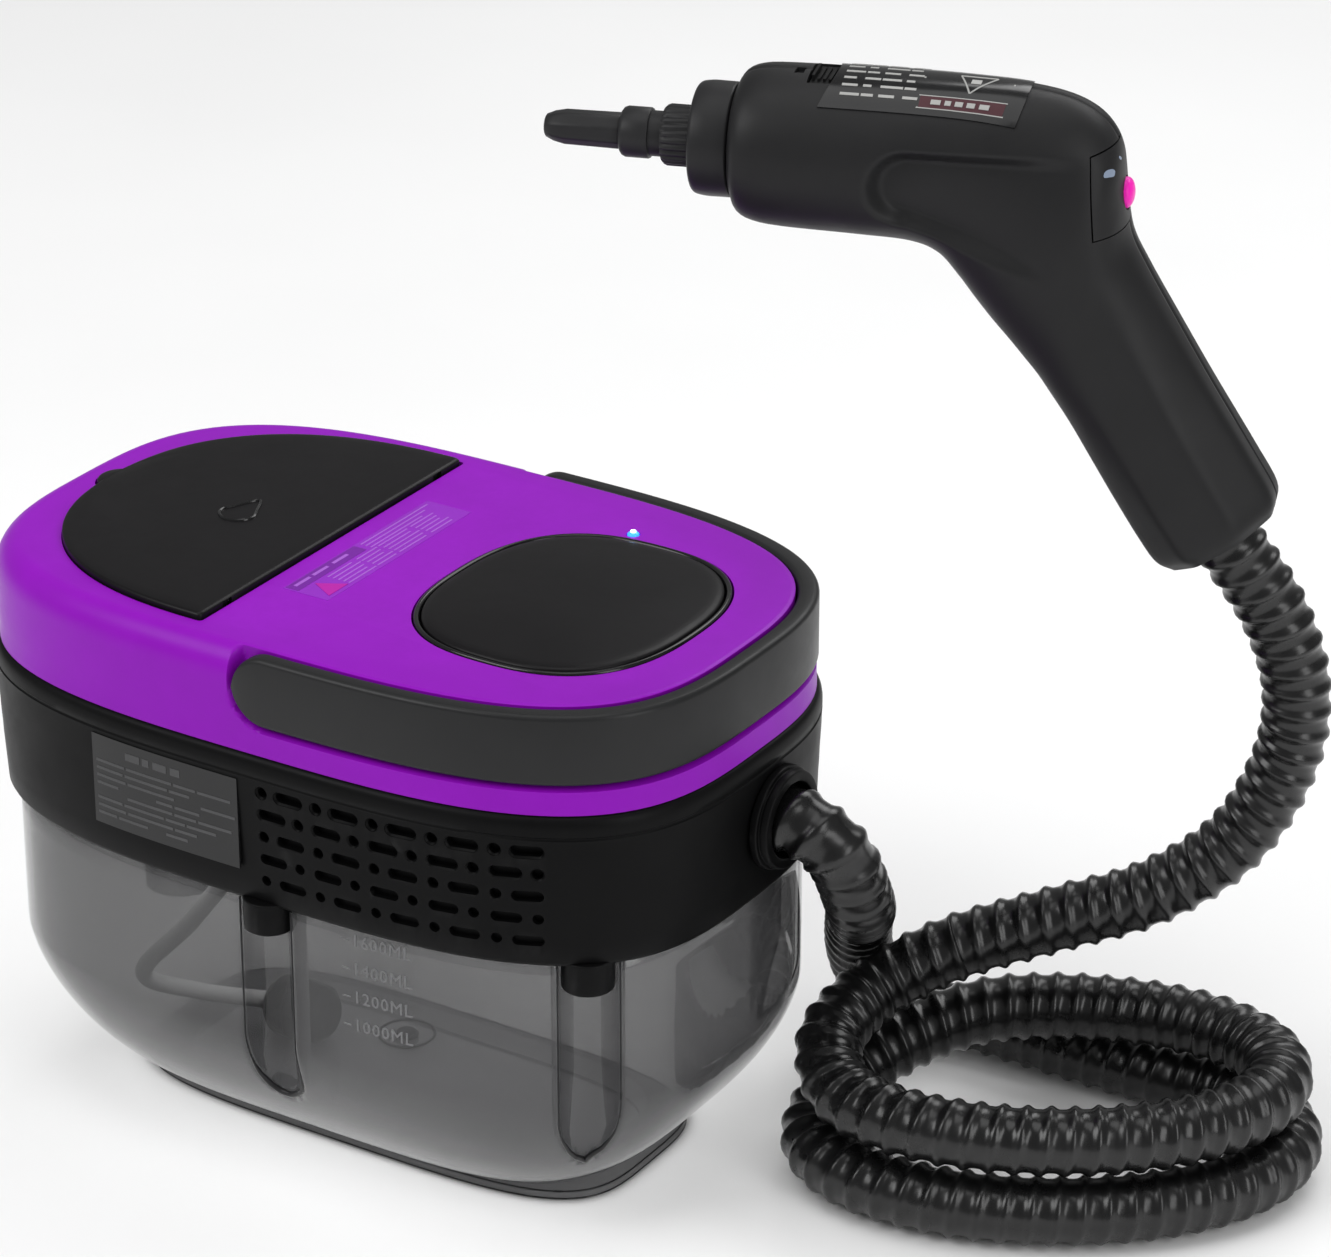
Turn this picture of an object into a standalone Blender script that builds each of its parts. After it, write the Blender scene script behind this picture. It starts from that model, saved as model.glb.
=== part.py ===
"""Canister steamer: water tank, powered head, corrugated hose and a steam gun with a jet nozzle.

Metres, +Z up. The origin is the centre of the anti-slip pad on the floor. +X points to the end that
the hose leaves from, and -Y is the long side with the rating plate.
"""

import math

import bmesh
import bpy
from mathutils import Matrix, Vector

# Driving dimensions of the base unit.
HALF_LENGTH = 0.125
HALF_WIDTH = 0.0805
OUTLINE_POWER = 3.18
TOP = 0.181
BAND_BOTTOM = 0.1009
BAND_TOP = 0.1494
WALL = 0.0025
GAP = 0.0003

# Tank: it narrows to a foot through a flattened curve.
FOOT_HALF_LENGTH = 0.072
FOOT_HALF_WIDTH = 0.0371
FOOT_POWER = 4.17
TANK_TOP_SCALE = 0.9606
TANK_CURVE_HEIGHT = 0.0527
TANK_CURVE_POWER = 1.51
PAD_THICKNESS = 0.0015
TANK_RIM = 0.1035
FLUTE_RADIUS = 0.0085
FLUTES = (
    ("near_middle", 0.0025, -0.0745, 0.0390),
    ("far_middle", 0.0025, 0.0745, 0.0390),
    ("near_corner", 0.1010, -0.0553, 0.0215),
    ("far_corner", 0.1010, 0.0553, 0.0215),
)

# Water lid: a half oval hinged on its straight edge.
LID_EDGE_X = -0.0239
LID_REACH = 0.0833
LID_HALF_WIDTH = 0.0674
LID_POWER = 2.4
LID_BOTTOM = 0.1793
LID_TOP = 0.1831
LID_AXIS_X = LID_EDGE_X - 0.0021
LID_AXIS_Z = 0.1812
LUG_Y = 0.054

# Carry handle: a band that folds flat round the hose end of the top cover.
HANDLE_THICKNESS = 0.0058
HANDLE_PIVOT_X = 0.0065
HANDLE_PIVOT_Z = 0.1698
HANDLE_HALF_HEIGHT = 0.0110
PIVOT_PIN_RADIUS = 0.0030

# Filler neck below the lid, and the power lamp beside the button.
FILLER_X = -0.085
FILLER_Y = -0.004
LAMP_X = 0.0496
LAMP_Y = 0.0502

# Power button in its bezel.
POD_X = 0.0609
POD_HALF_X = 0.0418
POD_HALF_Y = 0.0472
POD_POWER = 2.55

# Hose.
OUTLET = Vector((0.1250, 0.0082, 0.1255))
HOSE_RADIUS = 0.0106
HOSE_BORE = 0.0080
HOSE_SIDES = 8
HOSE_STEP = 0.0175
STEAM_TUBE_RADIUS = 0.0035
HOSE_JOINT_GAP = 0.0080
HOSE_LEAD = 0.0110
PATH_STEP = 0.0005
VIEW_RIGHT = Vector((0.8472, 0.5313, 0.0))
VIEW_AWAY = Vector((-0.5313, 0.8472, 0.0))
COIL_CENTRE = VIEW_RIGHT * 0.1950 + VIEW_AWAY * -0.0490

# Gun: its own frame runs s forward, n to the near side and z up from the steam button.
GUN_ORIGIN = Vector((0.18809, 0.09199, 0.30426))
GUN_TURN = math.radians(199.095)
BARREL_AXIS_Z = 0.0066
BARREL_FRONT = 0.1133
GUN_WALL = 0.0025


def clear_scene():
    for item in list(bpy.data.objects):
        bpy.data.objects.remove(item, do_unlink=True)


def make_material(name, colour, roughness, metallic=0.0, alpha=1.0):
    material = bpy.data.materials.new(name)
    material.use_nodes = True
    shader = material.node_tree.nodes["Principled BSDF"]
    shader.inputs["Base Color"].default_value = (*colour, 1.0)
    shader.inputs["Roughness"].default_value = roughness
    shader.inputs["Metallic"].default_value = metallic
    shader.inputs["Alpha"].default_value = alpha
    return material


def make_materials():
    return {
        "smoked_plastic": make_material("smoked_plastic", (0.12, 0.12, 0.13), 0.1, alpha=0.4),
        "purple_plastic": make_material("purple_plastic", (0.28, 0.02, 0.45), 0.35),
        "black_plastic": make_material("black_plastic", (0.012, 0.012, 0.013), 0.4),
        "gloss_black": make_material("gloss_black", (0.010, 0.010, 0.011), 0.15),
        "charcoal_plastic": make_material("charcoal_plastic", (0.03, 0.03, 0.032), 0.5),
        "pink_plastic": make_material("pink_plastic", (0.90, 0.02, 0.45), 0.35),
        "lamp_lens": make_material("lamp_lens", (0.50, 0.75, 1.0), 0.1),
        "black_rubber": make_material("black_rubber", (0.015, 0.015, 0.015), 0.7),
        "hose_plastic": make_material("hose_plastic", (0.010, 0.010, 0.011), 0.2),
        "silicone": make_material("silicone", (0.60, 0.60, 0.58), 0.5),
        "steel": make_material("steel", (0.55, 0.55, 0.56), 0.3, 1.0),
        "aluminium": make_material("aluminium", (0.70, 0.71, 0.72), 0.4, 1.0),
        "brass": make_material("brass", (0.70, 0.50, 0.22), 0.3, 1.0),
        "circuit_board": make_material("circuit_board", (0.02, 0.16, 0.06), 0.5),
    }


def add_object(name, mesh_data, material, origin=(0.0, 0.0, 0.0), parent=None):
    """Turns a bmesh into an object whose origin is at the given point."""
    bmesh.ops.translate(mesh_data, verts=mesh_data.verts, vec=-Vector(origin))
    mesh = bpy.data.meshes.new(name)
    mesh_data.to_mesh(mesh)
    mesh_data.free()
    mesh.shade_smooth()
    mesh.set_sharp_from_angle(angle=math.radians(35.0))
    if material:
        mesh.materials.append(material)
    item = bpy.data.objects.new(name, mesh)
    item.location = origin
    item.parent = parent
    bpy.context.scene.collection.objects.link(item)
    return item


def add_cutter(name, mesh_data, parent=None):
    item = add_object(name, mesh_data, None, parent=parent)
    item.hide_render = True
    item.display_type = "WIRE"
    return item


def combine(item, operation, *others):
    for other in others:
        modifier = item.modifiers.new(operation.lower() + "_" + other.name, "BOOLEAN")
        modifier.operation = operation
        modifier.object = other
        modifier.solver = "EXACT"


def superellipse(half_x, half_y, power, turn):
    cosine = math.cos(turn)
    sine = math.sin(turn)
    x = half_x * math.copysign(abs(cosine) ** (2.0 / power), cosine)
    y = half_y * math.copysign(abs(sine) ** (2.0 / power), sine)
    return x, y


def oval(half_x, half_y, power, z, count=36, centre=(0.0, 0.0)):
    """A closed level outline, counter-clockwise."""
    ring = []
    for index in range(count):
        x, y = superellipse(half_x, half_y, power, 2.0 * math.pi * (index + 0.5) / count)
        ring.append(Vector((centre[0] + x, centre[1] + y, z)))
    return ring


def body_ring(z, inset, count=36):
    return oval(HALF_LENGTH - inset, HALF_WIDTH - inset, OUTLINE_POWER, z, count)


def loft(rings, loop=False):
    """Skins neighbouring rings; a loft that isn't a loop gets flat ends."""
    mesh_data = bmesh.new()
    rows = [[mesh_data.verts.new(point) for point in ring] for ring in rings]
    pairs = list(zip(rows, rows[1:]))
    if loop:
        pairs.append((rows[-1], rows[0]))
    for low, high in pairs:
        for index in range(len(low)):
            after = (index + 1) % len(low)
            mesh_data.faces.new((low[index], low[after], high[after], high[index]))
    if not loop:
        mesh_data.faces.new(reversed(rows[0]))
        mesh_data.faces.new(rows[-1])
    bmesh.ops.recalc_face_normals(mesh_data, faces=mesh_data.faces)
    return mesh_data


def box(low, high):
    mesh_data = bmesh.new()
    bmesh.ops.create_cube(mesh_data, size=1.0)
    centre = (Vector(low) + Vector(high)) / 2.0
    size = Vector(high) - Vector(low)
    bmesh.ops.scale(mesh_data, vec=size, verts=mesh_data.verts)
    bmesh.ops.translate(mesh_data, vec=centre, verts=mesh_data.verts)
    return mesh_data


def turned(profile, start, direction, count, loop=False):
    """Revolves (distance along, radius) pairs about an axis; a loop leaves the axis hollow."""
    axis = Vector(direction).normalized()
    helper = Vector((0.0, 0.0, 1.0)) if abs(axis.z) < 0.9 else Vector((1.0, 0.0, 0.0))
    side = axis.cross(helper).normalized()
    other = axis.cross(side)
    rings = []
    for along, radius in profile:
        centre = Vector(start) + axis * along
        ring = []
        for index in range(count):
            turn = 2.0 * math.pi * (index + 0.5) / count
            ring.append(centre + side * (radius * math.cos(turn)) + other * (radius * math.sin(turn)))
        rings.append(ring)
    return loft(rings, loop)


def rod(start, end, radius, count=10):
    length = (Vector(end) - Vector(start)).length
    return turned(((0.0, radius), (length, radius)), start, Vector(end) - Vector(start), count)


def tube_ring(start, direction, inner, outer, length, count):
    """A plain round tube."""
    profile = ((0.0, outer), (length, outer), (length, inner), (0.0, inner))
    return turned(profile, start, direction, count, loop=True)


def spline(points, step):
    """Points at an even spacing along a Catmull-Rom curve through the way points."""
    ends = [points[0] * 2.0 - points[1], *points, points[-1] * 2.0 - points[-2]]
    fine = []
    for before, first, second, after in zip(ends, ends[1:], ends[2:], ends[3:]):
        for index in range(24):
            t = index / 24.0
            fine.append(
                0.5
                * (
                    first * 2.0
                    + (second - before) * t
                    + (before * 2.0 - first * 5.0 + second * 4.0 - after) * t * t
                    + (first * 3.0 - before - second * 3.0 + after) * t * t * t
                )
            )
    fine.append(points[-1])
    return even_steps(fine, step)


def even_steps(points, step):
    """Resamples a polyline into equal lengths close to the given step."""
    lengths = [0.0]
    for first, second in zip(points, points[1:]):
        lengths.append(lengths[-1] + (second - first).length)
    count = max(2, round(lengths[-1] / step))
    evenly = []
    place = 0
    for index in range(count + 1):
        target = lengths[-1] * index / count
        while place < len(points) - 2 and lengths[place + 1] < target:
            place += 1
        share = (target - lengths[place]) / (lengths[place + 1] - lengths[place])
        evenly.append(points[place].lerp(points[place + 1], min(max(share, 0.0), 1.0)))
    return evenly


def sweep(path, outer, inner, sides):
    """A round section carried along a path without twist; inner 0 makes it solid."""
    normal = (path[1] - path[0]).orthogonal().normalized()
    frames = []
    for index, point in enumerate(path):
        before = path[max(index - 1, 0)]
        after = path[min(index + 1, len(path) - 1)]
        along = (after - before).normalized()
        normal = (normal - along * normal.dot(along)).normalized()
        frames.append((point, normal.copy(), along.cross(normal)))

    def rings_of(radius):
        rings = []
        for point, first, second in frames:
            ring = []
            for index in range(sides):
                turn = 2.0 * math.pi * index / sides
                ring.append(point + first * (radius * math.cos(turn)) + second * (radius * math.sin(turn)))
            rings.append(ring)
        return rings

    if inner <= 0.0:
        return loft(rings_of(outer))
    return loft([*rings_of(outer), *reversed(rings_of(inner))], loop=True)


# ---------------------------------------------------------------- base unit


def tank_ring(z, inset):
    """The tank's outline at one height above the pad."""
    share = min(max((z - PAD_THICKNESS) / TANK_CURVE_HEIGHT, 0.0), 1.0)
    spread = (1.0 - (1.0 - share) ** TANK_CURVE_POWER) ** (1.0 / TANK_CURVE_POWER)
    half_x = FOOT_HALF_LENGTH + (HALF_LENGTH * TANK_TOP_SCALE - FOOT_HALF_LENGTH) * spread
    half_y = FOOT_HALF_WIDTH + (HALF_WIDTH * TANK_TOP_SCALE - FOOT_HALF_WIDTH) * spread
    power = FOOT_POWER + (OUTLINE_POWER - FOOT_POWER) * spread
    return oval(half_x - inset, half_y - inset, power, z)


def flute(x, y, radius, bottom, top):
    """A vertical channel with a domed lower end."""
    profile = []
    for step in range(1, 4):
        angle = math.pi / 2.0 * step / 3.0
        profile.append((radius * (1.0 - math.cos(angle)), radius * math.sin(angle)))
    profile.append((top - bottom, radius))
    profile.insert(0, (0.0, radius * 0.2))
    return turned(profile, (x, y, bottom), (0.0, 0.0, 1.0), 12)


def build_tank(materials):
    pad = [tank_ring(PAD_THICKNESS, -0.0002), tank_ring(PAD_THICKNESS, -0.0002)]
    for point in pad[0]:
        point.z = 0.0
    add_object("anti_slip_pad", loft(pad), materials["silicone"])
    heights = [PAD_THICKNESS + GAP, 0.0045, 0.0110, 0.0200, 0.0310, 0.0430, 0.0545, 0.0985]
    rings = [tank_ring(z, 0.0) for z in heights]
    rings += [tank_ring(z, 0.0013) for z in (BAND_BOTTOM - GAP, TANK_RIM)]
    tank = add_object("tank", loft(rings), materials["smoked_plastic"])
    floors = [0.0048, 0.0075, 0.0130, 0.0215, 0.0320, 0.0435, 0.0545, TANK_RIM + 0.001]
    cavity = add_cutter("tank_cavity", loft([tank_ring(z, WALL) for z in floors]))
    for name, x, y, bottom in FLUTES:
        outer = flute(x, y, FLUTE_RADIUS + WALL, bottom - WALL - FLUTE_RADIUS, TANK_RIM + 0.002)
        combine(cavity, "DIFFERENCE", add_cutter("flute_wall_" + name, outer))
    combine(tank, "DIFFERENCE", cavity)
    for name, x, y, bottom in FLUTES:
        channel = flute(x, y, FLUTE_RADIUS, bottom - FLUTE_RADIUS, TANK_RIM + 0.002)
        combine(tank, "DIFFERENCE", add_cutter("flute_" + name, channel))


def build_seal_and_deck(materials):
    seal_z = TANK_RIM + GAP
    seal = [
        body_ring(seal_z, 0.0062),
        body_ring(seal_z + 0.0030, 0.0062),
        body_ring(seal_z + 0.0030, 0.0098),
        body_ring(seal_z, 0.0098),
    ]
    add_object("tank_seal", loft(seal, loop=True), materials["silicone"])
    deck_z = seal_z + 0.0030 + GAP
    deck = add_object(
        "inner_deck",
        loft([body_ring(deck_z, 0.0056), body_ring(deck_z + 0.0030, 0.0056)]),
        materials["black_plastic"],
    )
    neck_hole = rod((FILLER_X, FILLER_Y, 0.09), (FILLER_X, FILLER_Y, 0.12), 0.0130, 14)
    tube_hole = rod((-0.032, -0.030, 0.09), (-0.032, -0.030, 0.12), 0.0040, 8)
    combine(deck, "DIFFERENCE", add_cutter("neck_hole", neck_hole), add_cutter("tube_hole", tube_hole))


def screw_posts():
    """Posts under the band that fill the heads of the flutes and take the tank screws."""
    posts = []
    limit = add_cutter("post_limit", loft([body_ring(0.0900, 0.0030), body_ring(0.1060, 0.0030)]))
    for name, x, y, _ in FLUTES:
        post = tube_ring((x, y, 0.0925), (0.0, 0.0, 1.0), 0.0030, FLUTE_RADIUS - GAP, 0.0108, 12)
        post = add_cutter("screw_post_" + name, post)
        combine(post, "INTERSECT", limit)
        posts.append(post)
    return posts


def build_screws(materials):
    for name, x, y, _ in FLUTES:
        profile = ((0.0, 0.0026), (0.0020, 0.0026), (0.0020, 0.0015), (0.0085, 0.0015))
        body = turned(profile, (x, y, 0.0945), (0.0, 0.0, 1.0), 8)
        add_object("tank_screw_" + name, body, materials["steel"])


def build_band(materials):
    profile = (
        (BAND_BOTTOM, 0.0022),
        (0.1025, 0.0012),
        (0.1440, -0.0004),
        (0.1482, 0.0001),
        (BAND_TOP, 0.0014),
        (BAND_TOP, 0.0046),
        (0.1100, 0.0044),
        (0.1040, 0.0038),
        (BAND_BOTTOM, 0.0038),
    )
    band = loft([body_ring(z, inset) for z, inset in profile], loop=True)
    band = add_object("mid_band", band, materials["black_plastic"])
    combine(band, "UNION", *screw_posts())
    combine(band, "DIFFERENCE", *vent_cutters())
    hose_hole = rod(OUTLET - Vector((0.02, 0, 0)), OUTLET + Vector((0.02, 0, 0)), 0.0132, 16)
    combine(band, "DIFFERENCE", add_cutter("hose_hole", hose_hole))
    cord_hole = rod((-0.062, 0.060, 0.118), (-0.062, 0.10, 0.118), 0.0062, 10)
    combine(band, "DIFFERENCE", add_cutter("cord_hole", cord_hole))


def vent_cutters():
    """Rows of slots through both long sides, each row shifted against the next."""
    mesh_data = bmesh.new()
    rows = 5
    columns = 4
    column_pitch = 0.0194
    row_pitch = 0.0070
    for row in range(rows):
        for column in range(columns):
            x = 0.0130 + column_pitch * column
            z = 0.1376 - row_pitch * row
            shift = 0.0048 if row % 2 else -0.0048
            slot = bmesh.ops.create_cube(mesh_data, size=1.0)["verts"]
            bmesh.ops.scale(mesh_data, vec=(0.0094, 0.2, 0.0032), verts=slot)
            bmesh.ops.translate(mesh_data, vec=(x - shift, 0.0, z), verts=slot)
    return [add_cutter("vents", mesh_data)]


def half_oval(grow, z, count=24):
    """The lid's outline: straight along the hinge, round towards -X."""
    ring = []
    for index in range(count + 1):
        turn = math.pi / 2.0 + math.pi * index / count
        x, y = superellipse(LID_REACH + grow, LID_HALF_WIDTH + grow, LID_POWER, turn)
        ring.append(Vector((LID_EDGE_X + grow + min(x - grow, 0.0), y, z)))
    return ring


def lid_tab(grow, low, high):
    """The round finger tab at the lid's far end."""
    centre = Vector((LID_EDGE_X - LID_REACH + 0.0025, 0.0, low))
    return rod(centre, centre + Vector((0.0, 0.0, high - low)), 0.0075 + grow, 14)


def cover_cavity():
    """The hollow under the top cover, narrower where the handle recess steps the wall in."""
    rings = []
    for z, inset in ((BAND_TOP - 0.002, 0.0040), (0.1745, 0.0044), (0.1783, 0.0085)):
        ring = []
        for back, front in zip(body_ring(z, inset), body_ring(z, max(inset, 0.0096))):
            ring.append(front if front.x > -0.012 else back)
        rings.append(ring)
    return add_cutter("cover_cavity", loft(rings))


def handle_recess():
    """The step round the hose end that the folded handle lies in."""
    recess = [
        oval(0.140, 0.095, OUTLINE_POWER, 0.1580),
        oval(0.140, 0.095, OUTLINE_POWER, 0.1900),
        body_ring(0.1900, 0.0072),
        body_ring(0.1580, 0.0072),
    ]
    recess = add_cutter("handle_recess", loft(recess, loop=True))
    keep_low = box((-0.20, -0.12, 0.14), (HANDLE_PIVOT_X, 0.12, HANDLE_PIVOT_Z))
    keep_high_x = HANDLE_PIVOT_X - HANDLE_HALF_HEIGHT - 0.0008
    keep_high = box((-0.20, -0.12, HANDLE_PIVOT_Z - 0.001), (keep_high_x, 0.12, 0.20))
    combine(recess, "DIFFERENCE", add_cutter("recess_low", keep_low), add_cutter("recess_high", keep_high))
    cutters = [recess]
    for side in (-1.0, 1.0):
        start = (HANDLE_PIVOT_X, side * (HALF_WIDTH - 0.0072), HANDLE_PIVOT_Z)
        end = (HANDLE_PIVOT_X, side * 0.095, HANDLE_PIVOT_Z)
        round_end = rod(start, end, HANDLE_HALF_HEIGHT + 0.0008, 24)
        cutters.append(add_cutter("recess_end", round_end))
        hole_start = (HANDLE_PIVOT_X, side * 0.060, HANDLE_PIVOT_Z)
        pin_hole = rod(hole_start, end, PIVOT_PIN_RADIUS + 0.00015, 10)
        cutters.append(add_cutter("pin_hole", pin_hole))
    return cutters


def build_top_cover(materials):
    profile = (
        (BAND_TOP + GAP, 0.0012),
        (0.1720, 0.0014),
        (0.1768, 0.0024),
        (0.1796, 0.0048),
        (TOP, 0.0085),
    )
    cover = loft([body_ring(z, inset) for z, inset in profile])
    cover = add_object("top_cover", cover, materials["purple_plastic"])
    combine(cover, "DIFFERENCE", cover_cavity(), *handle_recess())
    lid_hole = loft([half_oval(0.0004, 0.1700), half_oval(0.0004, 0.1900)])
    combine(cover, "DIFFERENCE", add_cutter("lid_hole", lid_hole))
    combine(cover, "DIFFERENCE", add_cutter("tab_hole", lid_tab(0.0005, 0.1700, 0.1900)))
    pod_hole = [
        oval(POD_HALF_X + GAP, POD_HALF_Y + GAP, POD_POWER, z, 28, (POD_X, 0.0))
        for z in (0.1700, 0.1900)
    ]
    combine(cover, "DIFFERENCE", add_cutter("pod_hole", loft(pod_hole)))
    lens_hole = rod((LAMP_X, LAMP_Y, 0.17), (LAMP_X, LAMP_Y, 0.19), 0.0021, 10)
    combine(cover, "DIFFERENCE", add_cutter("lens_hole", lens_hole))
    lens = turned(((0.0, 0.0024), (0.0012, 0.0024), (0.0012, 0.0018), (0.0042, 0.0018), (0.0046, 0.0012)),
                  (LAMP_X, LAMP_Y, 0.1770), (0.0, 0.0, 1.0), 10)
    add_object("led_lens", lens, materials["lamp_lens"])


def build_lid(materials):
    hinge = (LID_AXIS_X, 0.0, LID_AXIS_Z)
    rings = [
        half_oval(-GAP, LID_BOTTOM),
        half_oval(-GAP, LID_TOP - 0.0010),
        half_oval(-0.0016, LID_TOP),
    ]
    lid = add_object("water_lid", loft(rings), materials["black_plastic"], hinge)
    combine(lid, "UNION", add_cutter("tab", lid_tab(0.0, LID_BOTTOM, LID_TOP - 0.0006)))
    pin_bore = rod((LID_AXIS_X, -0.08, LID_AXIS_Z), (LID_AXIS_X, 0.08, LID_AXIS_Z), 0.0010, 8)
    combine(lid, "DIFFERENCE", add_cutter("lid_bore", pin_bore))
    for side in (-1.0, 1.0):
        notch = box(
            (LID_AXIS_X - 0.0030, side * LUG_Y - 0.0022, 0.170),
            (LID_AXIS_X + 0.0040, side * LUG_Y + 0.0022, 0.190),
        )
        combine(lid, "DIFFERENCE", add_cutter("lug_notch", notch))
    seal = [
        half_oval(-0.0060, LID_BOTTOM - 0.0032),
        half_oval(-0.0060, LID_BOTTOM - GAP),
        half_oval(-0.0095, LID_BOTTOM - GAP),
        half_oval(-0.0095, LID_BOTTOM - 0.0032),
    ]
    add_object("lid_seal", loft(seal, loop=True), materials["silicone"], hinge)
    pin = rod((LID_AXIS_X, -LUG_Y - 0.004, LID_AXIS_Z), (LID_AXIS_X, LUG_Y + 0.004, LID_AXIS_Z), 0.0008, 8)
    add_object("lid_hinge_pin", pin, materials["steel"], hinge)


def build_filler(materials):
    tray = [
        half_oval(0.0018, 0.1640),
        half_oval(0.0018, 0.1778),
        half_oval(-0.0004, 0.1778),
        half_oval(-0.0004, 0.1660),
    ]
    tray = add_object("fill_tray", loft(tray), materials["black_plastic"])
    lug_low = 0.1665
    for side in (-1.0, 1.0):
        y = side * LUG_Y
        near = y - 0.0015
        far = y + 0.0015
        root = box((LID_AXIS_X - 0.0012, near, lug_low), (LID_EDGE_X + 0.0010, far, 0.1770))
        post = box((LID_AXIS_X - 0.0018, near, lug_low + 0.001), (LID_AXIS_X + 0.0018, far, 0.1829))
        combine(tray, "UNION", add_cutter("lug_root", root), add_cutter("lug_post", post))
    bore = rod((LID_AXIS_X, -0.08, LID_AXIS_Z), (LID_AXIS_X, 0.08, LID_AXIS_Z), 0.0010, 8)
    combine(tray, "DIFFERENCE", add_cutter("lug_bore", bore))
    drain = rod((FILLER_X, FILLER_Y, 0.155), (FILLER_X, FILLER_Y, 0.170), 0.0120, 14)
    combine(tray, "DIFFERENCE", add_cutter("tray_drain", drain))
    neck = (
        (0.0, 0.0118),
        (0.1105, 0.0118),
        (0.1105, 0.0150),
        (0.1135, 0.0150),
        (0.1135, 0.0103),
        (0.0, 0.0103),
    )
    neck = turned(neck, (FILLER_X, FILLER_Y, 0.0500), (0.0, 0.0, 1.0), 14, loop=True)
    add_object("filler_neck", neck, materials["smoked_plastic"])
    strainer = (
        (0.0, 0.0088),
        (0.0290, 0.0097),
        (0.0290, 0.0114),
        (0.0305, 0.0114),
        (0.0305, 0.0085),
        (0.0015, 0.0076),
    )
    strainer = turned(strainer, (FILLER_X, FILLER_Y, 0.1363), (0.0, 0.0, 1.0), 14)
    add_object("fill_strainer", strainer, materials["silicone"])


def handle_stations():
    """Pairs of outer and inner outline points from the near pivot end, round +X, to the far end."""
    outer_x = HALF_LENGTH - 0.0008
    outer_y = HALF_WIDTH - 0.0008
    near = []
    for angle in (4.0, 28.0, 52.0, 76.0):
        x = HANDLE_PIVOT_X - HANDLE_HALF_HEIGHT * math.cos(math.radians(angle))
        half_height = HANDLE_HALF_HEIGHT * math.sin(math.radians(angle))
        near.append((x, half_height))
    near.append((HANDLE_PIVOT_X + 0.004, HANDLE_HALF_HEIGHT))
    near.append((0.034, HANDLE_HALF_HEIGHT))
    stations = []
    for x, half_height in near:
        y_outer = outer_y * (1.0 - abs(x / outer_x) ** OUTLINE_POWER) ** (1.0 / OUTLINE_POWER)
        y_inner = (outer_y - HANDLE_THICKNESS) * (
            1.0 - abs(x / (outer_x - HANDLE_THICKNESS)) ** OUTLINE_POWER
        ) ** (1.0 / OUTLINE_POWER)
        stations.append(((x, -y_outer), (x, -y_inner), half_height))
    turns = 9
    for index in range(turns):
        turn = -math.radians(78.0) + math.radians(78.0) * index / turns
        outer = superellipse(outer_x, outer_y, OUTLINE_POWER, turn)
        inner = superellipse(
            outer_x - HANDLE_THICKNESS, outer_y - HANDLE_THICKNESS, OUTLINE_POWER, turn
        )
        if outer[0] > 0.045:
            stations.append((outer, inner, HANDLE_HALF_HEIGHT))
    far = [((ox, -oy), (ix, -iy), half) for (ox, oy), (ix, iy), half in reversed(stations)]
    middle = ((outer_x, 0.0), (outer_x - HANDLE_THICKNESS, 0.0), HANDLE_HALF_HEIGHT)
    return [*stations, middle, *far]


def build_handle(materials):
    rings = []
    for outer, inner, half_height in handle_stations():
        low = HANDLE_PIVOT_Z - half_height
        high = HANDLE_PIVOT_Z + half_height
        rings.append(
            [
                Vector((outer[0], outer[1], low)),
                Vector((outer[0], outer[1], high)),
                Vector((inner[0], inner[1], high)),
                Vector((inner[0], inner[1], low)),
            ]
        )
    hinge = (HANDLE_PIVOT_X, 0.0, HANDLE_PIVOT_Z)
    handle = add_object("carry_handle", loft(rings), materials["charcoal_plastic"], hinge)
    for side, name in ((-1.0, "near"), (1.0, "far")):
        start = (HANDLE_PIVOT_X, side * 0.0695, HANDLE_PIVOT_Z)
        end = (HANDLE_PIVOT_X, side * 0.0780, HANDLE_PIVOT_Z)
        hole_start = (HANDLE_PIVOT_X, side * 0.0600, HANDLE_PIVOT_Z)
        hole_end = (HANDLE_PIVOT_X, side * 0.0783, HANDLE_PIVOT_Z)
        hole = add_cutter("handle_bore", rod(hole_start, hole_end, PIVOT_PIN_RADIUS + 0.00015, 10))
        combine(handle, "DIFFERENCE", hole)
        add_object("handle_pin_" + name, rod(start, end, PIVOT_PIN_RADIUS, 10), materials["steel"])


def build_power_button(materials):
    def pod(inset, z):
        return oval(POD_HALF_X - inset, POD_HALF_Y - inset, POD_POWER, z, 28, (POD_X, 0.0))

    bezel = [
        pod(0.0, 0.1755),
        pod(0.0, 0.1812),
        pod(0.0006, 0.1817),
        pod(0.0018, 0.1812),
        pod(0.0018, 0.1755),
    ]
    add_object("pod_bezel", loft(bezel, loop=True), materials["gloss_black"])
    button = [
        pod(0.0022, 0.1765),
        pod(0.0022, 0.1815),
        pod(0.0040, 0.1822),
        pod(0.0120, 0.1830),
        pod(0.0240, 0.1834),
    ]
    add_object("power_button", loft(button), materials["black_plastic"], (POD_X, 0.0, 0.1765))


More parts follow.
